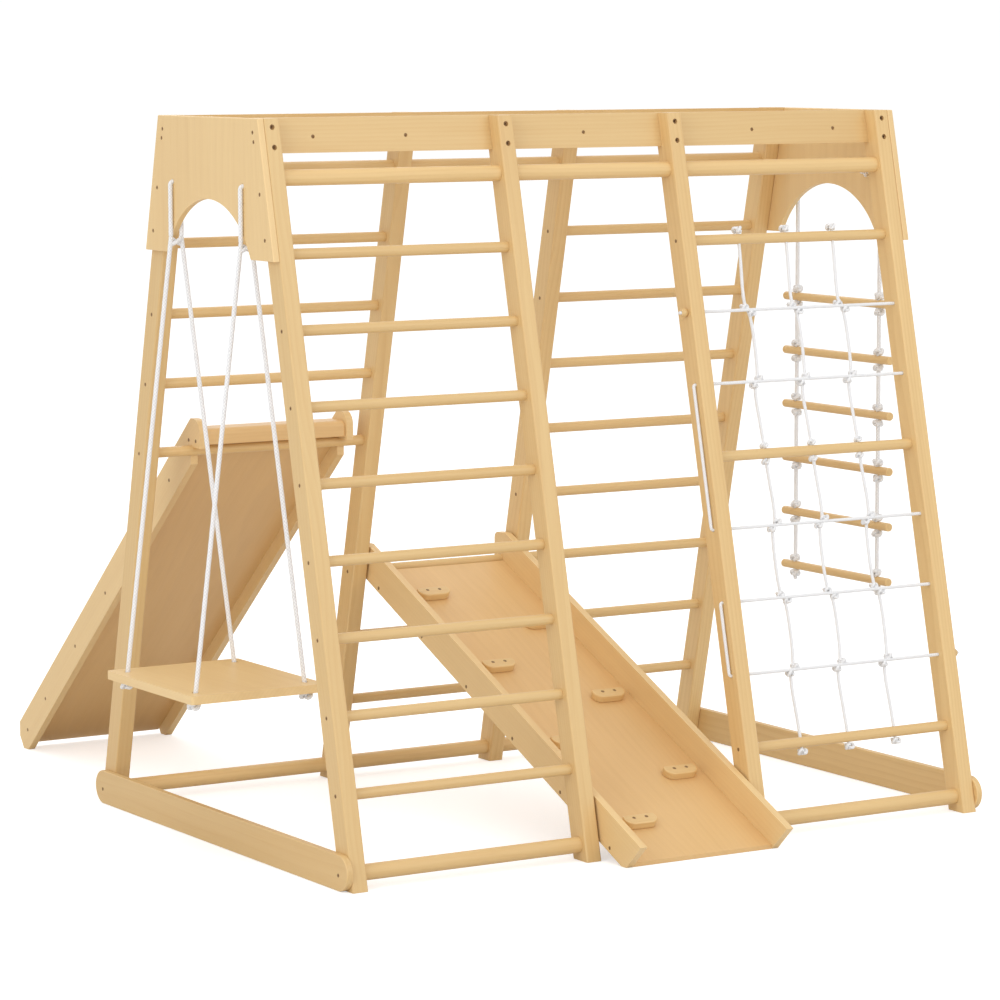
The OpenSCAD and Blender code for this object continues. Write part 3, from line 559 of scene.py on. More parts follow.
def tube(name: str, path: np.ndarray, radius: float, side: np.ndarray, sides: int) -> Piece:
    """Round cord along a path.

    Ring i is the circle of that radius about path point i, in the plane square to the path there;
    its first direction is the cross product of the steady direction and the path's direction. The
    radius swells and shrinks a little round and along the cord, as a braid's strands make it do.

    Args:
        name: the new object's name.
        path: n by 3 points in metres.
        radius: the cord's radius in metres.
        side: a direction that is never along the path.
        sides: points round a ring.

    Returns:
        The object, with closed ends and a UV map called girth.
    """
    n = len(path)
    ahead = np.gradient(path, axis=0)
    ahead /= np.linalg.norm(ahead, axis=1)[:, None]
    first = np.cross(np.broadcast_to(side, ahead.shape), ahead)
    first /= np.linalg.norm(first, axis=1)[:, None]
    second = np.cross(ahead, first)
    run = np.concatenate([[0.0], np.cumsum(np.linalg.norm(np.diff(path, axis=0), axis=1))])
    angle = np.linspace(0.0, 2 * np.pi, sides, endpoint=False)
    girth = 2 * np.pi * radius
    swell = 1 + STRAND_SWELL * np.cos(4 * angle[None, :] + 2 * np.pi * run[:, None] / girth)
    swell[[0, -1]] *= CORD_END
    ring = (np.cos(angle)[None, :, None] * first[:, None, :]
            + np.sin(angle)[None, :, None] * second[:, None, :])
    verts = (path[:, None, :] + radius * swell[:, :, None] * ring).reshape(-1, 3)
    quads = grid_faces(n, sides)
    caps = [tuple(range(sides - 1, -1, -1)), tuple((n - 1) * sides + k for k in range(sides))]
    mesh = bpy.data.meshes.new(name)
    mesh.from_pydata(verts.tolist(), [], [tuple(q) for q in quads.tolist()] + caps)
    u = np.arange(sides + 1) / sides
    v = run / girth
    rows, cols = np.divmod(np.arange(len(quads)), sides)
    corners_u = np.stack([u[cols], u[cols + 1], u[cols + 1], u[cols]], axis=1)
    corners_v = np.stack([v[rows], v[rows], v[rows + 1], v[rows + 1]], axis=1)
    uv = np.zeros((len(mesh.loops), 2))
    uv[:len(quads) * 4] = np.stack([corners_u, corners_v], axis=-1).reshape(-1, 2)
    uv[len(quads) * 4:] = CAP_UV
    layer = mesh.uv_layers.new(name="girth")
    layer.data.foreach_set("uv", uv.ravel())
    mesh.polygons.foreach_set("use_smooth", np.ones(len(mesh.polygons), bool))
    mesh.update()
    return placed(name, mesh)


def knot_path(turns: int = 64) -> np.ndarray:
    """Overhand knot about the Z axis, as an open stretch of the three-leaved knot curve.

    x = sin t + 2 sin 2t, y = cos t - 2 cos 2t, z = -1.25 sin 3t, for t from a little after 0 to
    a little before a full turn. Both loose ends lie close to the middle and are hidden by the rope.
    """
    t = np.linspace(0.35, 2 * np.pi - 0.35, turns)
    return np.stack([np.sin(t) + 2 * np.sin(2 * t), np.cos(t) - 2 * np.cos(2 * t),
                     -1.25 * np.sin(3 * t)], axis=1)


def joined(name: str, pieces: list[Piece]) -> Piece:
    """Joins separate objects into one of that name."""
    for other in bpy.context.selected_objects:
        other.select_set(False)
    for piece in pieces:
        piece.select_set(True)
    bpy.context.view_layer.objects.active = pieces[0]
    bpy.ops.object.join()
    made = bpy.context.view_layer.objects.active
    made.name = name
    made.data.name = name
    return made


def softened(node: str, radius: float, segments: int = 3, angle: float = 32.0) -> Piece:
    """Copy of a CAD node with its sharp edges rounded over, as sanding leaves them.

    The copy's triangles are merged and flat areas made one face again; then every edge sharper
    than the angle gets a round of that radius. The new faces are marked in the corner attribute
    rim, 1 on the rounds and 0 on the flats, which the timber finishes read.

    Args:
        node: the CAD node.
        radius: the rounding, in metres.
        segments: faces across a round.
        angle: the least angle between faces that counts as an edge, in degrees.

    Returns:
        The new object.
    """
    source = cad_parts[node]
    work = bmesh.new()
    work.from_mesh(source.data)
    work.transform(source.matrix_world)
    bmesh.ops.remove_doubles(work, verts=work.verts, dist=WELD)
    bmesh.ops.dissolve_degenerate(work, edges=work.edges, dist=SLIVER)
    bmesh.ops.dissolve_limit(work, angle_limit=FLAT_WITHIN, verts=work.verts, edges=work.edges)
    limit = math.radians(angle)
    sharp = [e for e in work.edges if len(e.link_faces) == 2 and e.calc_face_angle(0.0) > limit
             and e.calc_length() > radius * 0.5]
    made = bmesh.ops.bevel(work, geom=sharp, offset=radius, offset_type="OFFSET", segments=segments,
                           profile=0.5, affect="EDGES", clamp_overlap=True, miter_outer="ARC")
    rim = work.loops.layers.float.new("rim")
    rounds = set(made["faces"])
    for face in work.faces:
        face.smooth = True
        for loop in face.loops:
            loop[rim] = 1.0 if face in rounds else 0.0
    bmesh.ops.triangulate(work, faces=[f for f in work.faces if len(f.verts) > 4])
    mesh = bpy.data.meshes.new(node + "_timber")
    work.to_mesh(mesh)
    work.free()
    mesh.set_sharp_from_angle(angle=SHADE_SHARP)
    copy = placed(node + "_timber", mesh)
    even = copy.modifiers.new("even_flats", "WEIGHTED_NORMAL")
    even.mode = "FACE_AREA"
    even.keep_sharp = True
    return copy


def dress(piece: Piece, material: Material, body: str,
          replaces: tuple[str, ...] = ()) -> None:
    """Gives a new piece its material and body, and hides the nodes that it stands for."""
    piece.data.materials.clear()
    piece.data.materials.append(material)
    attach(piece, body)
    if replaces:
        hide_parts(*replaces)
    LOG.info("%s: %d faces on %s", piece.name, len(piece.data.polygons), body)


# ------------------------------------------------------------------ the workshop

PINE_LIGHT = (0.82, 0.575, 0.265)
PINE_DARK = (0.65, 0.40, 0.155)
BOARD_LIGHT = (0.83, 0.595, 0.29)
BOARD_DARK = (0.71, 0.46, 0.20)
BED_LIGHT = (0.77, 0.505, 0.225)
BED_DARK = (0.65, 0.395, 0.16)


@dataclass
class Workshop:
    """What every sub-assembly needs: places, shared effects and one material per finish."""

    yard: Yard
    effects: Effects
    made: dict[str, Material] = field(default_factory=dict)

    def finish(self, style: Timber | Cord | Plating) -> Material:
        """Builds a finish's material the first time it is asked for."""
        if style.name not in self.made:
            self.made[style.name] = style.material(self.effects)
        return self.made[style.name]

    def pine(self, label: str, grain: Grain, index: int = 0, rings: float = 0.22) -> Material:
        """Solid pine, with its own stretch of figure for each label and index."""
        shift = (0.37 * index + 0.11 * len(label), 0.083 * index, 0.019 * len(label) + 0.041 * index)
        tone = 1.0 - 0.035 * ((index * 7) % 4)
        light = tuple(c * tone for c in PINE_LIGHT)
        return self.finish(Timber(f"pine_{label}_{index}", light, PINE_DARK, rings, 0.24, grain, shift))

    def board(self, label: str, grain: Grain, index: int = 0) -> Material:
        """Laminated board with calmer grain; the beds and the slide's top block have a warmer tone."""
        shift = (0.29 * index + 0.17 * len(label), 0.061 * index, 0.023 * len(label))
        warm = label.endswith(("bed", "block"))
        light, dark = (BED_LIGHT, BED_DARK) if warm else (BOARD_LIGHT, BOARD_DARK)
        return self.finish(Timber(f"board_{label}_{index}", light, dark, 0.13, 0.20, grain, shift))

    def keep(self, node: str, material: Material) -> None:
        """Puts a finish on a CAD node whose shape is already right."""
        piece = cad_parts[node]
        if not piece.material_slots:
            piece.data.materials.append(material)
        for slot in piece.material_slots:
            slot.material = material
        LOG.info("%s keeps its shape", node)


# ------------------------------------------------------------------ sub-assemblies

@dataclass
class TimberFrame:
    """The legs, rails, bars, rungs, end panels and base boards."""

    shop: Workshop
    board_round: float = 1.6 * MM

    def build(self) -> None:
        """Dresses the parts that stay and softens the boards' edges."""
        for side, grain in (("front", Grain.FRONT_LEG), ("rear", Grain.REAR_LEG)):
            for n in range(1, 5):
                self.shop.keep(f"{side}_leg_{n}", self.shop.pine(f"{side}_leg", grain, n))
        bars = ["top_bar_front", "top_bar_rear", "bottom_bar_front_left", "bottom_bar_front_right",
                "bottom_bar_rear", "rungs_front_left", "rungs_front_right", "rungs_rear_left",
                "slide_hook_rung", "ramp_hook_rung", "rungs_rear_middle", "rungs_rear_right"]
        for n, node in enumerate(bars):
            self.shop.keep(node, self.shop.pine("bar", Grain.ALONG, n, rings=0.16))
        self.shop.keep("monkey_bars", self.shop.pine("overhead", Grain.ACROSS, 1, rings=0.16))
        for n, node in ((1, "top_rail_front"), (2, "top_rail_rear")):
            self.soft_board(node, self.shop.pine("rail", Grain.ALONG, n))
        for n, node in ((1, "base_board_left"), (4, "base_board_right")):
            self.soft_board(node, self.shop.pine("base", Grain.ACROSS, n))
        for n, node in enumerate(("arch_panel_left", "arch_panel_right")):
            self.soft_board(node, self.shop.board("arch", Grain.UPRIGHT, n))

    def soft_board(self, node: str, material: Material) -> None:
        """Replaces one board by its copy with sanded edges."""
        dress(softened(node, self.board_round), material, "frame", (node,))


@dataclass
class Chute:
    """The slide or the climbing ramp: two side boards, a bed and what is fixed to them."""

    shop: Workshop
    body: str
    grain: Grain
    boards: tuple[str, ...]
    bed: str
    edge_round: float = 2.2 * MM

    def build(self) -> None:
        """Softens the boards and the bed."""
        for n, node in enumerate(self.boards):
            block = node.endswith("block")
            label = f"{self.body}_block" if block else f"{self.body}_side"
            material = self.shop.board(label, Grain.ALONG if block else self.grain, n)
            dress(softened(node, self.edge_round), material, self.body, (node,))
        bed = softened(self.bed, 0.6 * MM, segments=1)
        dress(bed, self.shop.board(f"{self.body}_bed", self.grain, 3), self.body, (self.bed,))


@dataclass
class ClimbingHolds:
    """Wooden holds on the ramp, well rounded."""

    shop: Workshop
    round_over: float = 3.4 * MM

    def build(self) -> None:
        """Rounds the holds over."""
        holds = softened("climbing_holds", self.round_over, segments=4, angle=40.0)
        dress(holds, self.shop.pine("hold", Grain.ALONG, 2), "ramp", ("climbing_holds",))


@dataclass
class Ropework:
    """Ropes and knots in the same cord, each placed from the plan."""

    shop: Workshop
    spacing: float = 2.2 * MM
    rope_sides: int = 12
    knot_sides: int = 10
    knot_scale: float = 0.54
    knot_rope: float = 0.94
    made_knots: int = 0

    def rope(self, name: str, places: list, radius: float, body: str, replaces: tuple[str, ...] = (),
             side: Triple = (0.0, 1.0, 0.0), smooth: int = 0) -> Piece:
        """One rope through plan points.

        Args:
            name: the piece's name.
            places: plan points in millimetres.
            radius: the rope's radius in millimetres.
            body: what it rides on.
            replaces: CAD nodes that it stands for.
            side: a direction that the rope never takes.
            smooth: passes of corner cutting.

        Returns:
            The piece.
        """
        path = rounded(self.shop.yard.points(np.array(places)), smooth)
        piece = tube(name, resampled(path, self.spacing), radius * MM, np.array(side), self.rope_sides)
        dress(piece, self.shop.finish(Cord("white_cord")), body, replaces)
        return piece

    def knot(self, name: str, place: list[float], radius: float, tilt: float = 0.0,
             sideways: bool = False, size: float = 1.0) -> Piece:
        """One overhand knot, turned a little further than the last one.

        Args:
            name: the piece's name.
            place: plan point of its middle.
            radius: the rope's radius in millimetres.
            tilt: turn about X that brings its axis into a leaning plane, in radians.
            sideways: its axis lies along X in place of Z.
            size: tightness, 1 for a hand-tight knot.

        Returns:
            The knot, without a material yet.
        """
        self.made_knots += 1
        path = knot_path() * (radius * self.knot_scale * size)
        turn = Matrix.Rotation(GOLDEN_TURN * self.made_knots, 3, "Z")
        if sideways:
            turn = Matrix.Rotation(math.pi / 2, 3, "Y") @ turn
        turn = Matrix.Rotation(tilt, 3, "X") @ turn
        matrix = np.array(turn)
        axis = matrix @ np.array([0.0, 0.0, 1.0])
        points = self.shop.yard.points(path @ matrix.T + np.array(place))
        return tube(name, points, radius * MM * self.knot_rope, axis, self.knot_sides)

    def knots(self, name: str, pieces: list[Piece], body: str, replaces: tuple[str, ...] = ()) -> None:
        """Joins knots into one piece and dresses it."""
        made = joined(name, pieces)
        dress(made, self.shop.finish(Cord("white_cord")), body, replaces)


@dataclass
class Swing:
    """The plank seat with its two ropes, tied through the left arch panel."""

    ropes: Ropework
    seat_top: float = 300.0
    seat_thick: float = 15.0
    hole_half: float = 107.0
    strand_off: float = 11.0
    knot_high: float = 15.0
    knot_drop: float = 7.9
    strand_start: float = 9.0
    strand_pinch: float = 0.7
    loop_end: float = 8.0
    loop_gap: float = 0.3
    wrap_out: float = 3.6
    wrap_rise: float = 4.6
    wrap_thin: float = 0.96

    def strand(self, sx: int, sy: int) -> list[list[float]]:
        """Plan points of one strand, from above its wrap to the knot under the seat."""
        y = sy * PLAN.rope_half
        foot = self.seat_top - self.seat_thick - self.knot_high
        return [[PLAN.swing_x + sx * (self.strand_off - self.strand_pinch), y,
                 PLAN.pivot_z + self.strand_start],
                [PLAN.swing_x + sx * self.strand_off, y, PLAN.pivot_z],
                [PLAN.swing_x + sx * self.spread(foot), y, foot]]

    def spread(self, z: float) -> float:
        """Distance of a strand from the panel's middle at height z: it widens evenly downwards."""
        seat_middle = self.seat_top - self.seat_thick / 2
        run = (self.hole_half - self.strand_off) / (PLAN.pivot_z - seat_middle)
        return self.strand_off + run * (PLAN.pivot_z - z)

    def loop(self, sy: int) -> list[list[float]]:
        """Plan points of the rope through the panel's hole and down both of its faces."""
        half = PLAN.panel / 2 + PLAN.rope / 2 + self.loop_gap
        bend = PLAN.rope / 2 + 1.0
        y = sy * PLAN.rope_half
        t = np.linspace(0.0, math.pi / 2, 7)
        out = np.stack([-(half - bend) - bend * np.cos(t), np.full(7, y),
                        PLAN.hole_z - bend + bend * np.sin(t)], axis=1)
        back = out[::-1] * np.array([-1.0, 1.0, 1.0])
        low = PLAN.pivot_z + self.loop_end
        ends = [np.array([[-half, y, low]]), np.array([[half, y, low]])]
        return (np.concatenate([ends[0], out, back, ends[1]]) + np.array([PLAN.swing_x, 0, 0])).tolist()

    def wrap(self, sy: int, way: int) -> list[list[float]]:
        """Plan points of one of the two crossing turns that tie the strands together."""
        t = np.linspace(-1.0, 1.0, 13)
        x = PLAN.swing_x + way * t * self.strand_off
        y = sy * PLAN.rope_half + way * self.wrap_out * np.cos(t * math.pi / 2)
        z = PLAN.pivot_z - self.wrap_rise * np.sin(t * math.pi / 2)
        return np.stack([x, y, z], axis=1).tolist()

    def build(self) -> None:
        """Ropes first, then the seat."""
        r = PLAN.rope / 2
        knots = []
        for sy, word in ((-1, "front"), (1, "rear")):
            pair = [self.ropes.rope(f"swing_strand_{word}_{n}", self.strand(sx, sy), r, "swing")
                    for n, sx in enumerate((-1, 1))]
            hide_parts(f"swing_rope_{word}")
            self.ropes.rope(f"swing_hitch_{word}", self.loop(sy), r, "frame", (f"swing_loop_{word}",))
            for n, way in enumerate((-1, 1)):
                self.ropes.rope(f"swing_wrap_{word}_{n}", self.wrap(sy, way), r * self.wrap_thin, "swing",
                                side=(0, 0, 1))
            for sx in (-1, 1):
                z = self.seat_top - self.seat_thick - self.knot_drop
                x = PLAN.swing_x + sx * self.spread(z)
                knots.append(self.ropes.knot("seat_knot", [x, sy * PLAN.rope_half, z], r, size=1.5))
        self.ropes.knots("swing_seat_knots", knots, "swing", ("swing_knots",))
        seat = softened("swing_seat", 3.2 * MM, segments=4)
        dress(seat, self.ropes.shop.board("seat", Grain.ACROSS, 1), "swing", ("swing_seat",))


@dataclass
class RopeLadder:
    """Six rungs between two knotted ropes, hung from the right arch panel."""

    ropes: Ropework
    low_rung: float = 387.0
    pitch: float = 105.4
    rungs: int = 6
    rung: float = 16.0
    knot_half: float = 7.2
    hang: float = 10.0
    tail: float = 20.0
    overlap: float = 2.0

    def hanger(self, sy: int) -> list[list[float]]:
        """Plan points of a rope from its knot inside the panel to the bend outside it."""
        y = sy * PLAN.rope_half
        t = np.linspace(0.0, math.pi / 2, 8)
        bend = np.stack([PLAN.ladder_x - self.hang + self.hang * np.sin(t), np.full(8, y),
                         PLAN.hole_z - self.hang + self.hang * np.cos(t)], axis=1).tolist()
        return [[PLAN.end_face - self.tail, y, PLAN.hole_z], *bend,
                [PLAN.ladder_x, y, PLAN.ladder_pivot_z]]

    def build(self) -> None:
        """Ropes, knots above and below every rung, and the rungs."""
        r = PLAN.rope / 2
        foot = self.low_rung - self.rung / 2 - self.tail
        knots = []
        inner = []
        for sy, word in ((-1, "front"), (1, "rear")):
            y = sy * PLAN.rope_half
            ends = [[PLAN.ladder_x, y, PLAN.ladder_pivot_z + self.overlap], [PLAN.ladder_x, y, foot]]
            self.ropes.rope(f"ladder_cord_{word}", ends, r, "rope_ladder", (f"ladder_rope_{word}",))
            self.ropes.rope(f"ladder_tail_{word}", self.hanger(sy), r, "frame", (f"ladder_hanger_{word}",))
            inside = [PLAN.end_face - self.knot_half, y, PLAN.hole_z]
            inner.append(self.ropes.knot("inner_knot", inside, r, sideways=True))
            for n in range(self.rungs):
                z = self.low_rung + n * self.pitch
                for up in (-1, 1):
                    place = [PLAN.ladder_x, y, z + up * (self.rung / 2 + self.knot_half)]
                    knots.append(self.ropes.knot("rung_knot", place, r, size=1.22))
        self.ropes.knots("ladder_rung_knots", knots, "rope_ladder", ("ladder_knots",))
        self.ropes.knots("ladder_inner_knots", inner, "frame", ("hanger_knots",))
        rungs = softened("ladder_rungs", 1.5 * MM)
        dress(rungs, self.ropes.shop.pine("step", Grain.ACROSS, 3, rings=0.16), "rope_ladder",
              ("ladder_rungs",))


@dataclass
class ClimbingNet:
    """Three upright ropes and one lacing rope in the front right bay."""

    ropes: Ropework
    left: float = 163.5
    right: float = 657.0
    first: float = 300.5
    pitch: float = 105.0
    rows: tuple[int, ...] = (2, 3, 5, 6, 7)
    turns: tuple[int, ...] = (1, -1, -1, 1, -1)
    held_rungs: tuple[int, ...] = (1, 4, 8)
    jog: float = 7.0
    knot_rise: float = 6.5
    knot_half: float = 5.6
    knot_front: float = 2.0
    end_gap: float = 2.0
    tail: float = 8.0
    straight: float = 22.0
    bead_reach: float = 17.0
    lace_gap: float = 0.3

    def along(self, k: int) -> float:
        """Distance up the leaning plane of rung position k."""
        return PLAN.rung_z(k) / math.cos(PLAN.lean)

    def place(self, x: float, off: float, s: float) -> list[float]:
        """Plan point in the net's plane."""
        return self.ropes.shop.yard.in_front_plane(x, off, s)

    def lacing(self) -> list[list[float]]:
        """Plan points of the lacing: across a row, round a leg's outer face, and back along the next."""
        off = -(PLAN.cord + self.lace_gap)
        bend = PLAN.cord / 2 + 1.0
        s = [self.along(k) for k in self.rows]
        plane = [[self.left - self.bead_reach, s[0]]]
        for n in range(len(s) - 1):
            right = n % 2 == 0
            x = self.right if right else self.left
            way = 1.0 if right else -1.0
            t = np.linspace(0.0, math.pi / 2, 6)
            plane += np.stack([x + way * bend * np.sin(t), s[n] - bend + bend * np.cos(t)], 1).tolist()
            plane += np.stack([x + way * bend * np.cos(t), s[n + 1] + bend - bend * np.sin(t)], 1).tolist()
        plane.append([self.right + self.bead_reach, s[-1]])
        return [self.place(x, off, along) for x, along in plane]

    def upright(self, x: float, top: float, low: float) -> list[list[float]]:
        """Plan points of an upright: straight through the rungs, and a step aside in every cross knot.

        It comes into a cross knot on one side of its line and leaves it on the other.
        """
        path = [(x, top), (x, low)]
        for k in self.held_rungs:
            path += [(x, self.along(k) + self.straight), (x, self.along(k) - self.straight)]
        for k, turn in zip(self.rows, self.turns):
            path += [(x - turn * self.jog, self.along(k) + self.knot_rise),
                     (x + turn * self.jog, self.along(k) - self.knot_rise)]
        return [self.place(across, 0.0, s) for across, s in sorted(path, key=lambda point: -point[1])]

    def build(self) -> None:
        """Ropes, then knots where they cross and where they pass a rung, then the end beads."""
        r = PLAN.cord / 2
        rise = PLAN.rung / 2 + self.knot_half
        xs = [self.first + n * self.pitch for n in range(3)]
        top = self.along(self.held_rungs[0]) + rise + self.tail
        low = self.along(self.held_rungs[-1]) - rise - self.tail
        for n, x in enumerate(xs):
            piece = self.ropes.rope(f"net_upright_{n + 1}", self.upright(x, top, low), r, "frame", smooth=2)
            if n == 0:
                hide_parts("net_uprights")
        normal = (0.0, math.cos(PLAN.lean), -math.sin(PLAN.lean))
        self.ropes.rope("net_lace", self.lacing(), r, "frame", ("net_lacing",), normal)
        knots = []
        for x in xs:
            for k, turn in zip(self.rows, self.turns):
                for up in (-1, 1):
                    place = self.place(x - up * turn * self.jog, -self.knot_front,
                                       self.along(k) + up * self.knot_rise)
                    knots.append(self.ropes.knot("cross_knot", place, r, -PLAN.lean, size=1.4))
            for k in self.held_rungs:
                sides = {self.held_rungs[0]: (1,), self.held_rungs[-1]: (-1,)}.get(k, (-1, 1))
                size, reach = (1.35, rise) if len(sides) == 2 else (1.7, rise + self.end_gap)
                for up in sides:
                    place = self.place(x, 0.0, self.along(k) + up * reach)
                    knots.append(self.ropes.knot("rung_knot", place, r, -PLAN.lean, size=size))
        self.ropes.knots("net_tied_knots", knots, "frame", ("net_knots",))
        beads = softened("net_beads", 0.8 * MM)
        dress(beads, self.ropes.shop.pine("bead", Grain.ALONG, 1), "frame", ("net_beads",))


@dataclass
class Fasteners:
    """Countersunk screws with a cross recess, built again at every place the CAD puts one."""

    shop: Workshop
    head_radius: float = 3.5 * MM
    head_deep: float = 2.0 * MM
    shank: float = 2.0 * MM
    arm: float = 1.9 * MM
    slot_half: float = 0.5 * MM
    pit: float = 1.3 * MM
    tip: float = 3.0 * MM
    lip: float = 0.12 * MM
    around: int = 24

    def profile(self, length: float) -> np.ndarray:
        """One screw about Z, head at 0 and tip at minus length, as rings of points.

        The recess is a cross: in the direction a from an arm its edge is the arm's length over
        cos a near the arm and the slot's half width over sin a between arms.

        Args:
            length: the screw's whole length.

        Returns:
            rings by around by 3 array of points, from the recess floor out and down to the tip.
        """
        a = np.linspace(0.0, 2 * np.pi, self.around, endpoint=False)
        fold = (a + np.pi / 4) % (np.pi / 2) - np.pi / 4
        between = self.slot_half / np.maximum(np.abs(np.sin(fold)), 1e-3)
        cross = np.minimum(self.arm / np.cos(fold), between)
        circle = np.stack([np.cos(a), np.sin(a)], axis=1)
        rings = [(cross * 0.25, -self.pit), (cross, -self.pit * 0.55), (cross, 0.0)]
        even = np.ones_like(a)
        rings += [(even * self.head_radius * 0.94, 0.0), (even * self.head_radius, -self.lip),
                  (even * self.shank, -self.head_deep), (even * self.shank, -length + self.tip),
                  (even * self.shank * 0.1, -length)]
        return np.stack([np.concatenate([circle * r[:, None], np.full((self.around, 1), z)], axis=1)
                         for r, z in rings])

    def islands(self, node: str) -> list[np.ndarray]:
        """Points of each separate screw in a CAD node.

        Triangles that share a point are one island: labels spread along the edges until none changes.
        """
        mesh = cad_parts[node].data
        points = np.zeros(len(mesh.vertices) * 3)
        mesh.vertices.foreach_get("co", points)
        points = points.reshape(-1, 3)
        _, label = np.unique(np.round(points, 6), axis=0, return_inverse=True)
        label = label.ravel()
        corners = np.zeros(len(mesh.loops), int)
        mesh.loops.foreach_get("vertex_index", corners)
        tri = label[corners.reshape(-1, 3)]
        root = np.arange(label.max() + 1)
        while True:
            low = root[tri].min(axis=1)
            fresh = root.copy()
            for c in range(3):
                np.minimum.at(fresh, tri[:, c], low)
            fresh = fresh[fresh]
            if np.array_equal(fresh, root):
                break
            root = fresh
        group = root[label]
        return [points[group == g] for g in np.unique(group)]

    def build(self, node: str, body: str, name: str) -> None:
        """Builds all the screws of one node as one piece."""
        verts = []
        faces = []
        count = 0
        for n, cloud in enumerate(self.islands(node)):
            centre, axis, length = self.axis_of(cloud)
            rings = self.profile(length)
            turn = Vector((0, 0, 1)).rotation_difference(Vector(axis)).to_matrix() @ \
                Matrix.Rotation(0.9 * n, 3, "Z")
            flat = rings.reshape(-1, 3) @ np.array(turn).T + centre
            quads = grid_faces(len(rings), self.around)[:, ::-1] + count
            verts.append(flat)
            faces += [tuple(q) for q in quads.tolist()]
            faces.append(tuple(count + k for k in range(self.around)))
            last = count + (len(rings) - 1) * self.around
            faces.append(tuple(last + k for k in range(self.around - 1, -1, -1)))
            count += len(flat)
        mesh = bpy.data.meshes.new(name)
        mesh.from_pydata(np.concatenate(verts).tolist(), [], faces)
        mesh.polygons.foreach_set("use_smooth", np.ones(len(mesh.polygons), bool))
        mesh.set_sharp_from_angle(angle=math.radians(35.0))
        dress(placed(name, mesh), self.shop.finish(Plating("dull_plate")), body, (node,))

    def axis_of(self, cloud: np.ndarray) -> tuple[np.ndarray, np.ndarray, float]:
        """Middle of the head's face, outward direction and length of one screw.

        The longest spread of its points is its axis, and its head is the end where they lie
        farther from that axis.
        """
        middle = cloud.mean(axis=0)
        axis = np.linalg.svd(cloud - middle, full_matrices=False)[2][0]
        run = (cloud - middle) @ axis
        far = np.linalg.norm((cloud - middle) - run[:, None] * axis, axis=1)
        if far[run > run.max() - 1e-4].max() < far[run < run.min() + 1e-4].max():
            axis = -axis
            run = -run
        face = cloud[run > run.max() - 1e-4].mean(axis=0)
        return face, axis, float(run.max() - run.min())


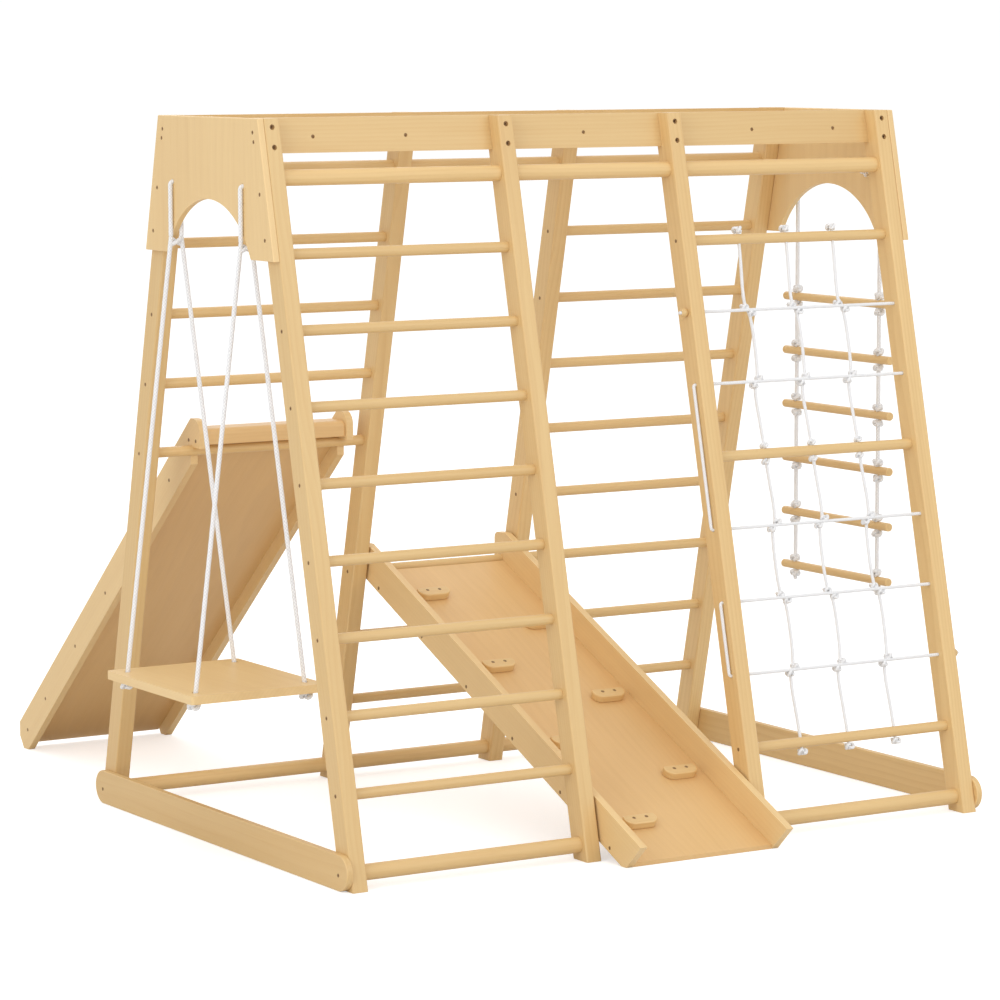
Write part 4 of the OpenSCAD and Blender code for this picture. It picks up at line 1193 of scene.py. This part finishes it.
@dataclass
class Studio:
    """Floor, light and the camera."""

    yard: Yard
    focal: float = 141.583
    eye: Triple = (-3798.4, -6089.8, 1415.7)
    heading: float = -31.735
    pitch: float = -6.90
    roll: float = -0.083
    shift: tuple[float, float] = (-0.0204, 0.0130)
    floor_tone: float = 0.78
    floor_glow: float = 0.52
    sky_light: float = 0.76
    sky_glow: float = 0.26

    def camera(self) -> None:
        """Camera at its place, looking along its heading and pitch."""
        az = math.radians(self.heading)
        pt = math.radians(self.pitch)
        ro = math.radians(self.roll)
        ahead = Vector((math.sin(-az) * math.cos(pt), math.cos(az) * math.cos(pt), math.sin(pt)))
        right = ahead.cross(Vector((0, 0, 1))).normalized()
        up = right.cross(ahead)
        turned_right = math.cos(ro) * right + math.sin(ro) * up
        turned_up = -math.sin(ro) * right + math.cos(ro) * up
        data = bpy.data.cameras.new("camera")
        data.lens = self.focal
        data.sensor_width = 36.0
        data.shift_x, data.shift_y = self.shift
        data.clip_end = 60.0
        eye = placed("camera", data)
        turn = Matrix((turned_right, turned_up, -ahead)).transposed().to_4x4()
        eye.matrix_world = Matrix.Translation(Vector(self.yard.at(*self.eye))) @ turn
        bpy.context.scene.camera = eye

    def lamp(self, name: str, place: Triple, size: float, power: float) -> None:
        """One square area light aimed at the object's middle."""
        data = bpy.data.lights.new(name, "AREA")
        data.size = size
        data.energy = power
        lamp = placed(name, data)
        lamp.location = place
        lamp.rotation_euler = (Vector((0, 0, 0.55)) - Vector(place)).to_track_quat("-Z", "Y").to_euler()

    def build(self) -> None:
        """Floor, world and lights."""
        bpy.ops.mesh.primitive_plane_add(size=60.0, location=(0, 0, -0.0005))
        floor = bpy.context.active_object
        floor.name = "studio_floor"
        pale, w, shader = new_material("studio_floor")
        seen = w.node("ShaderNodeLightPath").outputs["Is Camera Ray"]
        w.fill(shader, {
            "Base Color": (self.floor_tone, self.floor_tone, self.floor_tone, 1), "Roughness": 0.9,
            "Emission Color": (1.0, 1.0, 1.0, 1),
            "Emission Strength": w.math("MULTIPLY", seen, self.floor_glow)})
        floor.data.materials.append(pale)
        floor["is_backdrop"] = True
        world = bpy.data.worlds.new("studio")
        bpy.context.scene.world = world
        world.use_nodes = True
        sky = Wires(world.node_tree)
        seen = sky.node("ShaderNodeLightPath").outputs["Is Camera Ray"]
        sky.fill(world.node_tree.nodes["Background"], {
            "Color": (1.0, 1.0, 1.0, 1),
            "Strength": sky.math("ADD", sky.math("MULTIPLY", seen, self.sky_glow), self.sky_light)})
        self.lamp("key", (1.2, -5.6, 3.4), 4.0, 72.0)
        self.lamp("fill", (-5.0, -2.5, 2.6), 3.5, 74.0)
        self.lamp("back", (2.5, 5.5, 4.5), 3.0, 40.0)
        self.lamp("overhead", (-0.5, 0.3, 5.0), 4.0, 45.0)
        bpy.context.scene.view_settings.view_transform = "Standard"
        bpy.context.scene.view_settings.look = "None"


def main() -> list[list[list[float]]]:
    """Builds the whole scene in order.
    """
    logging.basicConfig(level=logging.INFO, format="%(name)s: %(message)s")
    cad_box = [list(map(float, corner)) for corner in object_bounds()]
    yard = Yard()
    studio = Studio(yard)
    studio.camera()
    shop = Workshop(yard, Effects())
    ropes = Ropework(shop)
    Swing(ropes).build()
    RopeLadder(ropes).build()
    ClimbingNet(ropes).build()
    TimberFrame(shop).build()
    Chute(shop, "slide", Grain.SLIDE, ("slide_side_left", "slide_side_right", "slide_top_block"),
          "slide_bed").build()
    Chute(shop, "ramp", Grain.RAMP, ("ramp_side_left", "ramp_side_right"), "ramp_bed").build()
    ClimbingHolds(shop).build()
    screws = Fasteners(shop)
    for node, body in (("rung_screws", "frame"), ("panel_screws", "frame"), ("monkey_bar_screws", "frame"),
                       ("slide_screws", "slide"), ("ramp_screws", "ramp"), ("hold_screws", "ramp")):
        screws.build(node, body, node + "_cross")
    for node in ("leg_bolts", "insert_nuts"):
        shop.keep(node, shop.finish(Plating("dull_plate")))
    studio.build()
    return cad_box


if __name__ == "__main__":
    CAD_BOX = main()
